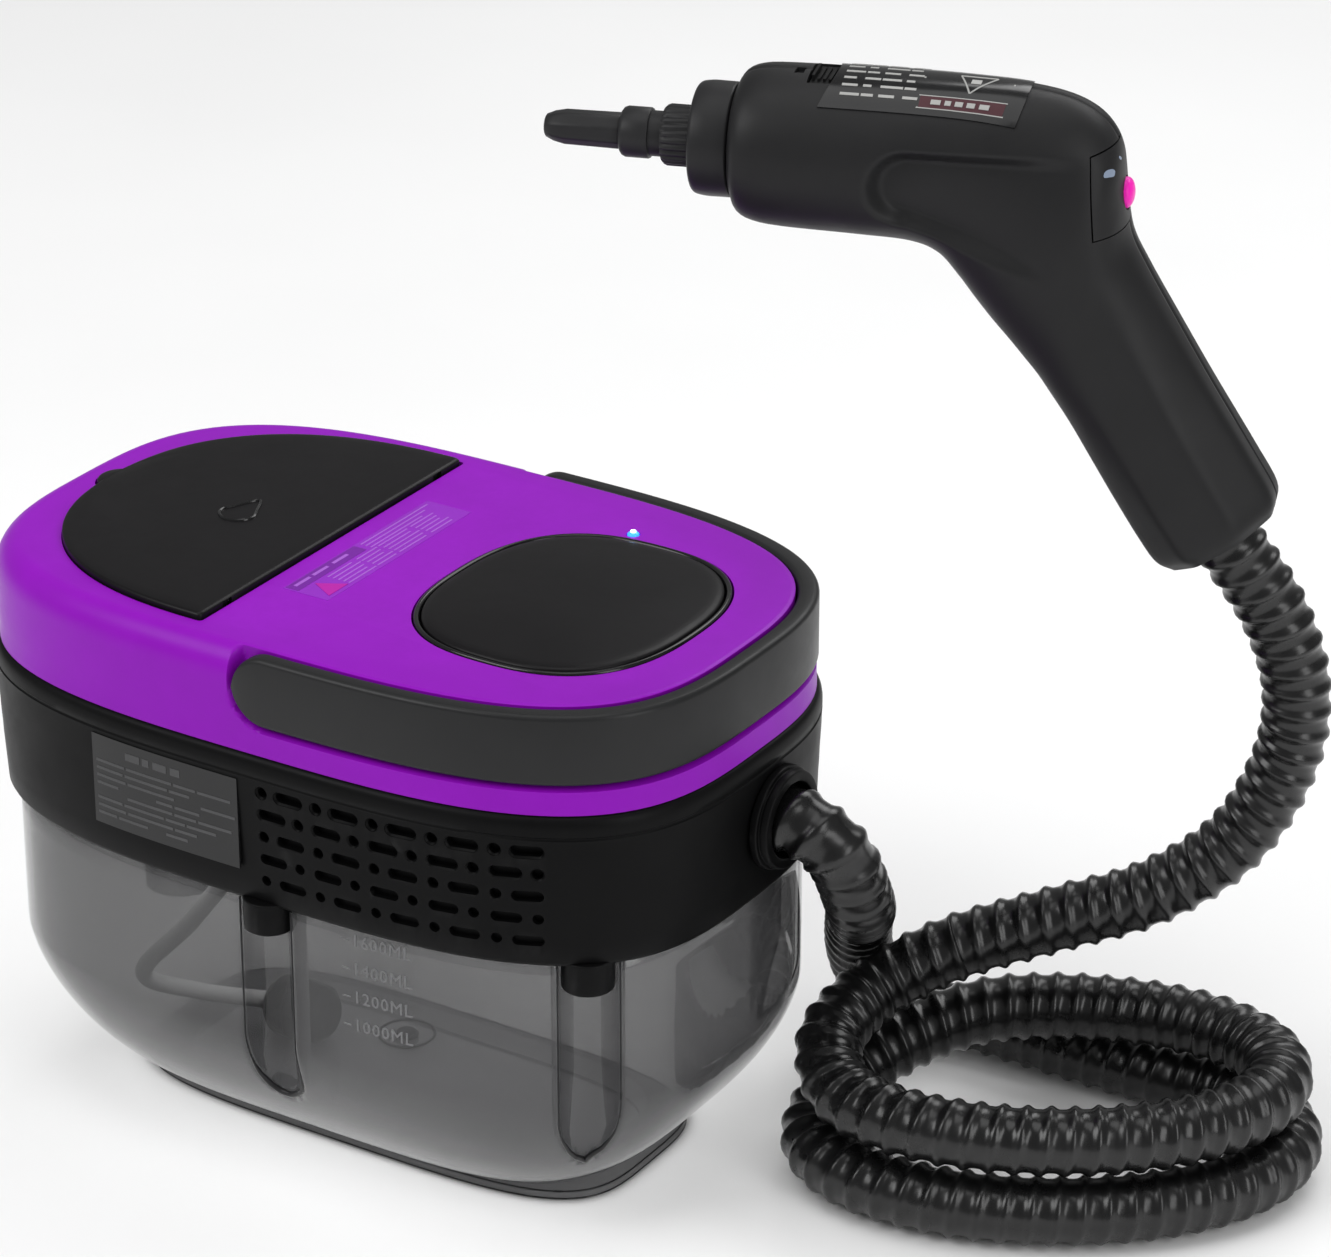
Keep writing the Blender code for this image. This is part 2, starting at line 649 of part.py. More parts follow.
def build_powered_parts(materials):
    """What sits on the deck: heater, pump, switch, safety devices and board."""
    boiler = (
        (0.0, 0.0120),
        (0.0040, 0.0190),
        (0.0110, 0.0215),
        (0.0590, 0.0215),
        (0.0660, 0.0190),
        (0.0700, 0.0120),
    )
    boiler = turned(boiler, (0.0060, 0.0330, 0.1365), (1.0, 0.0, 0.0), 14)
    add_object("boiler", boiler, materials["aluminium"])
    cradle = tube_ring((0.0320, 0.0330, 0.1365), (1.0, 0.0, 0.0), 0.0221, 0.0234, 0.0120, 14)
    add_object("boiler_strap", cradle, materials["steel"])
    disc = ((0.0, 0.0070), (0.0040, 0.0070), (0.0040, 0.0045), (0.0065, 0.0045))
    thermostat = turned(disc, (0.0180, 0.0330, 0.1583), (0.0, 0.0, 1.0), 10)
    add_object("thermostat", thermostat, materials["gloss_black"])
    fuse = rod((0.0520, 0.0330, 0.1610), (0.0660, 0.0330, 0.1610), 0.0024, 8)
    add_object("thermal_fuse", fuse, materials["steel"])
    valve = ((0.0, 0.0030), (0.0050, 0.0030), (0.0050, 0.0060), (0.0090, 0.0060), (0.0130, 0.0035))
    valve = turned(valve, (0.0056, 0.0330, 0.1365), (-1.0, 0.0, 0.0), 8)
    add_object("safety_valve", valve, materials["brass"])
    pump = (
        (0.0, 0.0030),
        (0.0080, 0.0030),
        (0.0080, 0.0090),
        (0.0180, 0.0090),
        (0.0180, 0.0150),
        (0.0450, 0.0150),
        (0.0450, 0.0080),
        (0.0560, 0.0080),
        (0.0560, 0.0030),
        (0.0640, 0.0030),
    )
    pump = turned(pump, (0.0100, -0.0350, 0.1290), (1.0, 0.0, 0.0), 12)
    add_object("pump", pump, materials["black_plastic"])
    bush = tube_ring((0.0290, -0.0350, 0.1290), (1.0, 0.0, 0.0), 0.0154, 0.0182, 0.0080, 12)
    add_object("pump_bush", bush, materials["black_rubber"])
    switch = box((POD_X - 0.0100, -0.0140, 0.1625), (POD_X + 0.0100, 0.0020, 0.1738))
    add_object("power_switch", switch, materials["gloss_black"])
    board = box((-0.0640, 0.0120, 0.1290), (-0.0080, 0.0580, 0.1306))
    board = add_object("control_board", board, materials["circuit_board"])
    blocks = (
        ((-0.0600, 0.0160, 0.1300), (-0.0440, 0.0300, 0.1450)),
        ((-0.0380, 0.0360, 0.1300), (-0.0200, 0.0540, 0.1400)),
        ((-0.0340, 0.0160, 0.1300), (-0.0140, 0.0260, 0.1360)),
    )
    for low, high in blocks:
        combine(board, "UNION", add_cutter("board_block", box(low, high)))


def build_pipes(materials):
    """Water from the tank floor to the pump and the heater, then steam to the hose."""
    suction = spline(
        [
            Vector((0.0085, -0.0350, 0.1290)),
            Vector((-0.0160, -0.0345, 0.1280)),
            Vector((-0.0310, -0.0310, 0.1160)),
            Vector((-0.0330, -0.0290, 0.0950)),
            Vector((-0.0600, -0.0300, 0.0560)),
            Vector((-0.0840, -0.0270, 0.0280)),
            Vector((-0.0760, -0.0120, 0.0165)),
            Vector((-0.0530, -0.0040, 0.0160)),
        ],
        0.0120,
    )
    add_object("suction_tube", sweep(suction, 0.0028, 0.0016, 6), materials["silicone"])
    weight = (
        (0.0, 0.0060),
        (0.0030, 0.0090),
        (0.0110, 0.0100),
        (0.0190, 0.0090),
        (0.0220, 0.0060),
    )
    add_object("suction_filter", turned(weight, (-0.0515, -0.0035, 0.0160), (1.0, 0.05, 0.0), 12),
               materials["black_rubber"])
    feed = spline(
        [
            Vector((0.0755, -0.0350, 0.1290)),
            Vector((0.0900, -0.0300, 0.1290)),
            Vector((0.0930, 0.0000, 0.1330)),
            Vector((0.0895, 0.0280, 0.1380)),
            Vector((0.0785, 0.0335, 0.1410)),
        ],
        0.0120,
    )
    add_object("feed_tube", sweep(feed, 0.0028, 0.0016, 6), materials["silicone"])
    steam = spline(
        [
            Vector((0.0785, 0.0310, 0.1315)),
            Vector((0.0900, 0.0240, 0.1300)),
            Vector((0.1030, 0.0120, 0.1265)),
            Vector((0.1160, 0.0083, 0.1255)),
        ],
        0.0120,
    )
    add_object("steam_outlet_pipe", sweep(steam, 0.0030, 0.0018, 6), materials["brass"])


def build_outlets(materials):
    start = OUTLET - Vector((0.0062, 0.0, 0.0))
    collar = (
        (0.0, 0.0128),
        (0.0072, 0.0128),
        (0.0072, 0.0158),
        (0.0110, 0.0158),
        (0.0122, 0.0145),
        (0.0122, 0.0118),
        (0.0, 0.0118),
    )
    collar = turned(collar, start, (1.0, 0.0, 0.0), 18, loop=True)
    add_object("hose_collar", collar, materials["black_plastic"])
    grommet = (
        (0.0, 0.0058),
        (0.0075, 0.0058),
        (0.0075, 0.0085),
        (0.0100, 0.0085),
        (0.0240, 0.0055),
        (0.0240, 0.0047),
        (0.0, 0.0047),
    )
    grommet = turned(grommet, (-0.0620, 0.0715, 0.1180), (0.0, 1.0, 0.0), 10, loop=True)
    add_object("cord_grommet", grommet, materials["black_rubber"])
    cord = [Vector((-0.0620, y, 0.1180)) for y in (0.0680, 0.0840, 0.1000)]
    cord.append(Vector((-0.0630, 0.1200, 0.1000)))
    cord.append(Vector((-0.0660, 0.1330, 0.0500)))
    cord.append(Vector((-0.0700, 0.1440, 0.0150)))
    cord_radius = 0.0034
    for index in range(1, 19):
        turn = math.radians(-10.0 + 35.0 * index)
        level = cord_radius + 0.0006 + 0.0074 * min(max((index - 7) / 4.0, 0.0), 1.0)
        cord.append(Vector((-0.0750 + 0.042 * math.sin(turn), 0.1820 - 0.030 * math.cos(turn), level)))
    end = cord[-1]
    cord.append(Vector((end.x - 0.0060, end.y - 0.0260, 0.0086)))
    cord.append(Vector((end.x - 0.0080, end.y - 0.0480, 0.0084)))
    path = spline(cord, 0.014)
    add_object("power_cord", sweep(path, cord_radius, 0.0, 5), materials["black_rubber"])
    build_plug(materials, path[-1], (path[-1] - path[-2]).normalized())


def build_plug(materials, start, direction):
    direction = Vector((direction.x, direction.y, 0.0)).normalized()
    body = ((0.0, 0.0060), (0.0140, 0.0075), (0.0200, 0.0078), (0.0320, 0.0078))
    origin = start + direction * 0.0012
    side = Vector((-direction.y, direction.x, 0.0))
    plug = add_object("power_plug", turned(body, origin, direction, 12), materials["black_rubber"])
    for offset in (-0.0040, 0.0040):
        foot = origin + direction * 0.030 + side * offset
        pin = rod(foot, foot + direction * 0.019, 0.0016, 8)
        combine(plug, "UNION", add_cutter("plug_pin", pin))


# --------------------------------------------------------------------- hose


def smooth_share(value):
    """Eases from 0 to 1 as the value does."""
    value = min(max(value, 0.0), 1.0)
    return value * value * (3.0 - 2.0 * value)


def coil_point(degrees):
    """A point of the two-turn coil, which climbs from the floor turn to the one above it."""
    share = smooth_share((-175.0 - degrees) / 90.0)
    half_right = 0.0718 - 0.0040 * share
    half_away = 0.0428 - 0.0025 * share
    angle = math.radians(degrees)
    level = HOSE_RADIUS + 0.0002 + 0.0222 * share + 0.0095 * smooth_share((-515.0 - degrees) / 45.0)
    offset = VIEW_RIGHT * (half_right * math.cos(angle)) + VIEW_AWAY * (half_away * math.sin(angle))
    return COIL_CENTRE + offset + Vector((0.0, 0.0, level))


def view_point(right, away, z):
    return VIEW_RIGHT * right + VIEW_AWAY * away + Vector((0.0, 0.0, z))


def hose_path():
    """From the outlet, down behind the coil, twice round it, then up to the gun."""
    way = [
        OUTLET + Vector((-0.0030, 0.0, 0.0)),
        OUTLET + Vector((HOSE_LEAD - 0.0030, 0.0, 0.0)),
        OUTLET + Vector((0.0195, 0.0035, -0.0085)),
        view_point(0.1345, -0.0585, 0.0990),
        view_point(0.1366, -0.0400, 0.0840),
        view_point(0.1374, -0.0140, 0.0690),
        view_point(0.1386, 0.0100, 0.0435),
        view_point(0.1450, 0.0220, 0.0240),
        view_point(0.1600, 0.0250, 0.0135),
        view_point(0.1800, 0.0190, 0.0112),
    ]
    way += [coil_point(degrees) for degrees in range(60, -556, -15)]
    way += [
        HOSE_PIVOT,
        view_point(0.1650, -0.0190, 0.0585),
        view_point(0.1950, -0.0200, 0.0690),
        view_point(0.2250, -0.0215, 0.0795),
        view_point(0.2490, -0.0225, 0.0975),
        view_point(0.2625, -0.0240, 0.1245),
        view_point(0.2645, -0.0260, 0.1510),
        view_point(0.2560, -0.0280, 0.1770),
    ]
    way.append(gun_to_world(GRIP_END))
    way.append(gun_to_world(GRIP_END + GRIP_AXIS * 0.0120))
    return spline(way, PATH_STEP)


def build_hose(materials):
    """The hose is one run, parted where its free end starts to rise from the coil."""
    path = hose_path()
    split = min(range(len(path)), key=lambda index: (path[index] - HOSE_PIVOT).length)
    half_gap = round(HOSE_JOINT_GAP / 2.0 / PATH_STEP)
    lead = round(HOSE_LEAD / PATH_STEP)
    lower = [path[0]] + even_steps(path[lead : split - half_gap + 1], HOSE_STEP)
    upper = even_steps(path[split + half_gap :], HOSE_STEP)
    pivot = tuple(HOSE_PIVOT)
    for name, run, origin in (("lower", lower, (0.0, 0.0, 0.0)), ("upper", upper, pivot)):
        conduit = sweep(run, HOSE_RADIUS, HOSE_BORE, HOSE_SIDES)
        add_object("hose_" + name, conduit, materials["hose_plastic"], origin)
        steam = sweep(offset_path(run, 0.0030), STEAM_TUBE_RADIUS, 0.0020, 5)
        add_object("steam_tube_" + name, steam, materials["silicone"], origin)
        cable = sweep(offset_path(run, -0.0038), 0.0018, 0.0, 4)
        add_object("hose_cable_" + name, cable, materials["black_rubber"], origin)


def offset_path(path, sideways):
    """A path beside the given one, shifted level and square to its direction."""
    shifted = []
    side = None
    for index, point in enumerate(path):
        before = path[max(index - 1, 0)]
        after = path[min(index + 1, len(path) - 1)]
        along = (after - before).normalized()
        if side is None:
            side = along.cross(Vector((0.0, 0.0, 1.0))).normalized()
        side = (side - along * side.dot(along)).normalized()
        shifted.append(point + side * sideways)
    return shifted


# ---------------------------------------------------------------------- gun

# Each station pairs a point on the top and rear line with one on the underside, and gives a half width.
GUN_STATIONS = (
    ((0.1133, 0.0236), (0.1133, -0.0104), 0.0170),
    ((0.1115, 0.0270), (0.1115, -0.0138), 0.0204),
    ((0.1070, 0.0290), (0.1070, -0.0158), 0.0222),
    ((0.0980, 0.0297), (0.0980, -0.0168), 0.0228),
    ((0.0750, 0.0300), (0.0750, -0.0173), 0.0230),
    ((0.0580, 0.0300), (0.0600, -0.0180), 0.0228),
    ((0.0420, 0.0298), (0.0520, -0.0210), 0.0224),
    ((0.0290, 0.0293), (0.0462, -0.0276), 0.0220),
    ((0.0179, 0.0277), (0.0415, -0.0340), 0.0215),
    ((0.0100, 0.0247), (0.0365, -0.0402), 0.0210),
    ((0.0045, 0.0200), (0.0315, -0.0458), 0.0205),
    ((0.0010, 0.0130), (0.0270, -0.0510), 0.0200),
    ((-0.0006, 0.0010), (0.0225, -0.0562), 0.0195),
    ((-0.0024, -0.0110), (0.0180, -0.0624), 0.0190),
    ((-0.0075, -0.0215), (0.0128, -0.0697), 0.0186),
    ((-0.0166, -0.0371), (0.0060, -0.0805), 0.0183),
    ((-0.0270, -0.0545), (-0.0015, -0.0925), 0.0181),
    ((-0.0400, -0.0752), (-0.0090, -0.1040), 0.0180),
    ((-0.0470, -0.0870), (-0.0140, -0.1105), 0.0178),
    ((-0.0470, -0.0930), (-0.0190, -0.1130), 0.0150),
)
GRIP_END = Vector((-0.0330, 0.0, -0.1030))
GRIP_AXIS = Vector((0.5736, 0.0, 0.8192))
HOSE_PIVOT = VIEW_RIGHT * 0.1425 + VIEW_AWAY * -0.0235 + Vector((0.0, 0.0, 0.0475))


def gun_to_world(point):
    return GUN_ORIGIN + Matrix.Rotation(GUN_TURN, 3, "Z") @ Vector(point)


def gun_surface(station, degrees, inset):
    """A point of the gun's skin: station along the body, degrees round from its top line."""
    index = min(int(station), len(GUN_STATIONS) - 2)
    share = station - index
    first = GUN_STATIONS[index]
    second = GUN_STATIONS[index + 1]
    top = Vector(first[0]).lerp(Vector(second[0]), share)
    low = Vector(first[1]).lerp(Vector(second[1]), share)
    half_width = first[2] + (second[2] - first[2]) * share - inset
    centre = (top + low) / 2.0
    half = (top - low) / 2.0
    half *= (half.length - inset) / half.length
    power = 2.1 + 0.5 * min(max((station - 8.0) / 8.0, 0.0), 1.0)
    across, along = superellipse(half_width, 1.0, power, math.radians(90.0 - degrees))
    return Vector((centre.x + half.x * along, across, centre.y + half.y * along))


def gun_skin_patch(stations, angles, outer_inset, inner_inset):
    """A curved plate that follows the gun's skin over a range of stations and angles."""
    rings = []
    for station in stations:
        outer = [gun_surface(station, angle, outer_inset) for angle in angles]
        inner = [gun_surface(station, angle, inner_inset) for angle in reversed(angles)]
        rings.append(outer + inner)
    return loft(rings)


def build_gun_shells(materials, gun):
    stations = [float(index) for index in range(len(GUN_STATIONS))]
    panel_cut = gun_skin_patch([10.2, 11.0, 12.0, 13.1], [-35.0, -18.0, 0.0, 18.0, 35.0], -0.0040, 0.0050)
    panel_cut = add_cutter("panel_cut", panel_cut, gun)
    slot = add_cutter("latch_slot", box((0.0780, -0.0052, 0.0200), (0.0930, 0.0052, 0.0340)), gun)
    for name, sign in (("left", -1.0), ("right", 1.0)):
        rings = []
        for station in stations:
            steps = [22.5 * index for index in range(9)]
            outer = [gun_surface(station, degrees, 0.0) for degrees in steps]
            inner = [gun_surface(station, degrees, GUN_WALL) for degrees in reversed(steps)]
            ring = []
            for point in outer + inner:
                ring.append(Vector((point.x, sign * (max(point.y, 0.0) + GAP / 2.0), point.z)))
            rings.append(ring)
        shell = add_object("gun_shell_" + name, loft(rings), materials["charcoal_plastic"], parent=gun)
        combine(shell, "DIFFERENCE", panel_cut, slot)


def build_gun_controls(materials, gun):
    panel = gun_skin_patch([10.3, 11.0, 12.0, 13.0], [-32.0, -16.0, 0.0, 16.0, 32.0], -0.0002, 0.0024)
    panel = add_object("control_panel", panel, materials["charcoal_plastic"], parent=gun)
    hole = add_cutter("button_hole", rod((-0.02, 0.0, 0.0), (0.02, 0.0, 0.0), 0.0050, 14), gun)
    lens_hole = add_cutter("heat_lens_hole", rod((-0.02, 0.0, 0.0092), (0.02, 0.0, 0.0092), 0.0019, 8), gun)
    combine(panel, "DIFFERENCE", hole, lens_hole)
    button = ((0.0, 0.0030), (0.0010, 0.0044), (0.0070, 0.0044), (0.0070, 0.0035), (0.0085, 0.0035))
    button = turned(button, (-0.0036, 0.0, 0.0), (1.0, 0.0, 0.0), 14)
    add_object("steam_button", button, materials["pink_plastic"], parent=gun)
    lens = ((0.0, 0.0010), (0.0006, 0.0016), (0.0034, 0.0016))
    lens = turned(lens, (0.0, 0.0, 0.0092), (1.0, 0.0, 0.0), 8)
    add_object("heat_lamp_lens", lens, materials["lamp_lens"], parent=gun)
    switch = box((0.0080, -0.0060, -0.0045), (0.0150, 0.0060, 0.0045))
    add_object("steam_switch", switch, materials["gloss_black"], parent=gun)
    latch = box((0.0835, -0.0047, 0.0262), (0.0915, 0.0047, 0.0300))
    latch = add_object("release_latch", latch, materials["black_plastic"], parent=gun)
    rib = add_cutter("latch_rib", box((0.0890, -0.0040, 0.0290), (0.0905, 0.0040, 0.0314)), gun)
    combine(latch, "UNION", rib)


def build_gun_plumbing(materials, gun):
    forward = (1.0, 0.0, 0.0)
    pipe = spline(
        [
            GRIP_END + GRIP_AXIS * 0.0160,
            GRIP_END + GRIP_AXIS * 0.0500,
            Vector((0.0215, 0.0, -0.0230)),
            Vector((0.0430, 0.0, 0.0020)),
            Vector((0.0640, 0.0, BARREL_AXIS_Z)),
            Vector((0.0800, 0.0, BARREL_AXIS_Z)),
        ],
        0.014,
    )
    add_object("gun_steam_pipe", sweep(pipe, 0.0030, 0.0018, 6), materials["brass"], parent=gun)
    socket = (
        (0.0, 0.0045),
        (0.0050, 0.0060),
        (0.0050, 0.0095),
        (0.0290, 0.0095),
        (0.0290, 0.0062),
        (0.0070, 0.0062),
        (0.0070, 0.0033),
        (0.0, 0.0033),
    )
    socket = turned(socket, (0.0806, 0.0, BARREL_AXIS_Z), forward, 14, loop=True)
    add_object("nozzle_socket", socket, materials["black_plastic"], parent=gun)
    nose = (
        (0.0, 0.0167),
        (0.0085, 0.0166),
        (0.0112, 0.0155),
        (0.0120, 0.0132),
        (0.0120, 0.0064),
        (0.0, 0.0064),
    )
    nose = turned(nose, (BARREL_FRONT + GAP, 0.0, BARREL_AXIS_Z), forward, 20, loop=True)
    add_object("nose_ring", nose, materials["black_plastic"], parent=gun)
    nozzle = (
        (0.0, 0.0058),
        (0.0386, 0.0058),
        (0.0386, 0.0083),
        (0.0394, 0.0089),
        (0.0448, 0.0089),
        (0.0456, 0.0080),
        (0.0456, 0.0066),
        (0.0500, 0.0066),
        (0.0500, 0.0072),
        (0.0572, 0.0072),
        (0.0582, 0.0064),
        (0.0582, 0.0037),
        (0.0386, 0.0037),
        (0.0386, 0.0020),
        (0.0, 0.0020),
    )
    nozzle_start = (0.0878, 0.0, BARREL_AXIS_Z)
    nozzle = turned(nozzle, nozzle_start, forward, 12, loop=True)
    add_object("extension_nozzle", nozzle, materials["black_plastic"], nozzle_start, gun)
    tip = (
        (0.0, 0.0033),
        (0.0160, 0.0033),
        (0.0160, 0.0050),
        (0.0330, 0.0050),
        (0.0372, 0.0042),
        (0.0384, 0.0026),
        (0.0384, 0.0010),
        (0.0, 0.0010),
    )
    tip_start = (0.1303, 0.0, BARREL_AXIS_Z)
    tip = turned(tip, tip_start, forward, 8, loop=True)
    add_object("jet_tip", tip, materials["black_plastic"], tip_start, gun)
    ferrule = tube_ring(GRIP_END + GRIP_AXIS * 0.0010, GRIP_AXIS, 0.0113, 0.0130, 0.0110, 14)
    add_object("hose_ferrule", ferrule, materials["black_plastic"], parent=gun)


def build_gun_screws(materials, gun):
    screw = ((0.0, 0.0024), (0.0018, 0.0024), (0.0018, 0.0013), (0.0200, 0.0013))
    for name, s, z in (("barrel", 0.0620, -0.0050), ("grip", -0.0040, -0.0800)):
        body = turned(screw, (s, 0.0105, z), (0.0, -1.0, 0.0), 8)
        add_object("gun_screw_" + name, body, materials["steel"], parent=gun)


def build_gun(materials):
    gun = bpy.data.objects.new("gun_frame", None)
    gun.location = GUN_ORIGIN
    gun.rotation_euler = (0.0, 0.0, GUN_TURN)
    bpy.context.scene.collection.objects.link(gun)
    build_gun_shells(materials, gun)
    build_gun_controls(materials, gun)
    build_gun_plumbing(materials, gun)
    build_gun_screws(materials, gun)


def main():
    clear_scene()
    materials = make_materials()
    build_tank(materials)
    build_seal_and_deck(materials)
    build_screws(materials)
    build_band(materials)
    build_top_cover(materials)
    build_lid(materials)
    build_filler(materials)
    build_handle(materials)
    build_power_button(materials)
    build_powered_parts(materials)
    build_pipes(materials)
    build_outlets(materials)
    build_hose(materials)
    build_gun(materials)


main()
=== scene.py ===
"""The finished look of a canister wallpaper steamer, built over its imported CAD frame.

Lengths are in metres, in the CAD's frame: +X runs to the hose end, -Y is the near side, +Z is up.
A shape is a pair (vertices, faces), and the profile of a turned shape is (along, radius) pairs.
"""

import functools
import math

import bmesh
import bpy
import numpy as np
from mathutils import Matrix, Vector


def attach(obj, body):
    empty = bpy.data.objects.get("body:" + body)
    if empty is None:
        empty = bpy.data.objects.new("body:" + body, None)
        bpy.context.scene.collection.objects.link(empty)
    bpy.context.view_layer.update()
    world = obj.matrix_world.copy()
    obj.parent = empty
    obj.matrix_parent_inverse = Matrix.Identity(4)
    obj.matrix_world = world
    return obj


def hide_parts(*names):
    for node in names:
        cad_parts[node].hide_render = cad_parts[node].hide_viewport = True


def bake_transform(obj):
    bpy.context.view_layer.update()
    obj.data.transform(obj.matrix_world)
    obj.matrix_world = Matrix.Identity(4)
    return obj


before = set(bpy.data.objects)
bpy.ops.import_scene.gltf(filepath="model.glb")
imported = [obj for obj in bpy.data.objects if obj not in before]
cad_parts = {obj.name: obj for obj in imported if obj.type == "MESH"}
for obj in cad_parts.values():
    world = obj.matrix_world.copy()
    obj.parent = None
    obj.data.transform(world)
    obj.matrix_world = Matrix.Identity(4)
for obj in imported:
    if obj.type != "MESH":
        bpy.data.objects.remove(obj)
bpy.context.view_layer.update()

FORWARD = Vector((1.0, 0.0, 0.0))
FAR = Vector((0.0, 1.0, 0.0))
UP = Vector((0.0, 0.0, 1.0))

# Sizes shared with the CAD.
HALF_LENGTH = 0.125
HALF_WIDTH = 0.0805
BODY_POWER = 3.18
TOP = 0.181
BAND_BOTTOM = 0.1009
BAND_TOP = 0.1494
VENT_TOP = 0.1386
VENT_STEP = (0.0191, 0.00725)
VENT_RADIUS = 0.00165
# Tank: half length, half width and power of its foot, the share of the body it fills, and how far
# up its rounded foot reaches with which power.
FOOT = (0.072, 0.0371, 4.17)
TANK_SCALE = 0.9606
TANK_CURVE = (0.0512, 1.51)
TANK_BASE = 0.0018
FOOT_STEP = (0.0875, 0.041, 4.0)
FOOT_TOP = 0.003
TANK_RIM = 0.1035
TANK_RIM_INSET = 0.0013
TANK_WALL = 0.0022
# Screw flutes: x and y of their axis, and the height of their lower end's centre.
FLUTES = ((0.101, 0.0553, 0.0215), (0.0025, 0.0745, 0.039),
          (0.0025, -0.0745, 0.039), (0.101, -0.0553, 0.0215))
FLUTE_RADIUS = 0.0085
FLUTE_SPAN = 0.0135
FLUTE_POINTS = 56
FLUTE_FILLET = 0.0026
FILLET_SHARE = 0.45
FLUTE_LEVEL = 0.0985
# Lid: x of its straight edge, how far it reaches towards -X, half its width, and its hinge's x and z.
LID_EDGE = -0.0239
LID_REACH = 0.0833
LID_HALF = 0.0674
LID_POWER = 2.4
LID_AXIS = (-0.026, 0.1812)
LID_TAB_X = LID_EDGE - LID_REACH + 0.0025
LUG_OFFSET = 0.054
# Handle: x and z of its pivot, and half its height.
PIVOT = (0.0065, 0.1698)
HANDLE_HALF = 0.011
HANDLE_THICK = 0.0058
HANDLE_INSET = 0.0008
RECESS_DEPTH = 0.0072
RECESS_GAP = 0.0008
RECESS_EDGE = 0.002
# Pod: x of its middle, half length, half width and power; then x and y of its lamp.
POD = (0.0609, 0.0418, 0.0472, 2.55)
POWER_LAMP = (0.0496, 0.0502)
# Mains lead: x and z where it leaves the far side. Hose: where it leaves the hose end.
CORD_OUTLET = (-0.062, 0.118)
OUTLET = Vector((0.125, 0.0082, 0.1255))
HOSE_CREST = 0.0106
HOSE_ROOT = 0.0094
RIB_PITCH = 0.0072
RIB_POINTS = 12
HOSE_SIDES = 26
HOSE_EASING = 8
# The camera's level directions, which the hose is laid out in.
VIEW_RIGHT = Vector((0.8472, 0.5313, 0.0))
VIEW_AWAY = Vector((-0.5313, 0.8472, 0.0))
COIL_CENTRE = VIEW_RIGHT * 0.195 + VIEW_AWAY * -0.049
HOSE_PIVOT = VIEW_RIGHT * 0.1425 + VIEW_AWAY * -0.0235 + Vector((0.0, 0.0, 0.0475))
# The gun has its own frame: x forward along the barrel, z up.
GUN_ORIGIN = Vector((0.18809, 0.09199, 0.30426))
GUN_TURN = Matrix.Rotation(math.radians(199.095), 3, "Z")
GUN_BODIES = ("gun", "gun_button", "latch", "nozzle", "tip")
BARREL_Z = 0.0066
# The pressed-in hollow on each side: its front end, its middle height and half its height.
HOLLOW = (0.0592, 0.0028, 0.0106)
HOLLOW_PRESS = 0.27
NOSE_X = 0.112
NOZZLE_X = 0.0878
TIP_X = 0.1303
GRIP_END = Vector((-0.033, 0.0, -0.103))
GRIP_AXIS = Vector((0.5736, 0.0, 0.8192))
# x and z of the top line, x and z of the underside, and half the width.
GUN_STATIONS = np.array((
    (0.1117, 0.0236, 0.1117, -0.0104, 0.017),
    (0.1099, 0.027, 0.1099, -0.0138, 0.0204),
    (0.1055, 0.029, 0.1055, -0.0158, 0.0222),
    (0.0968, 0.0297, 0.0968, -0.0168, 0.0228),
    (0.075, 0.03, 0.075, -0.0173, 0.023),
    (0.058, 0.03, 0.06, -0.018, 0.0228),
    (0.042, 0.0298, 0.052, -0.021, 0.0224),
    (0.029, 0.0293, 0.0462, -0.0276, 0.022),
    (0.0179, 0.0277, 0.0415, -0.034, 0.0215),
    (0.01, 0.0247, 0.0365, -0.0402, 0.021),
    (0.0045, 0.02, 0.0315, -0.0458, 0.0205),
    (0.001, 0.013, 0.027, -0.051, 0.02),
    (-0.0006, 0.001, 0.0225, -0.0562, 0.0195),
    (-0.0024, -0.011, 0.018, -0.0624, 0.019),
    (-0.0075, -0.0215, 0.0128, -0.0697, 0.0186),
    (-0.0166, -0.0371, 0.006, -0.0805, 0.0183),
    (-0.027, -0.0545, -0.0015, -0.0925, 0.0181),
    (-0.04, -0.0752, -0.009, -0.104, 0.018),
    (-0.047, -0.087, -0.014, -0.1105, 0.0178),
    (-0.047, -0.093, -0.019, -0.113, 0.015),
))

# ---------------------------------------------------------------- materials


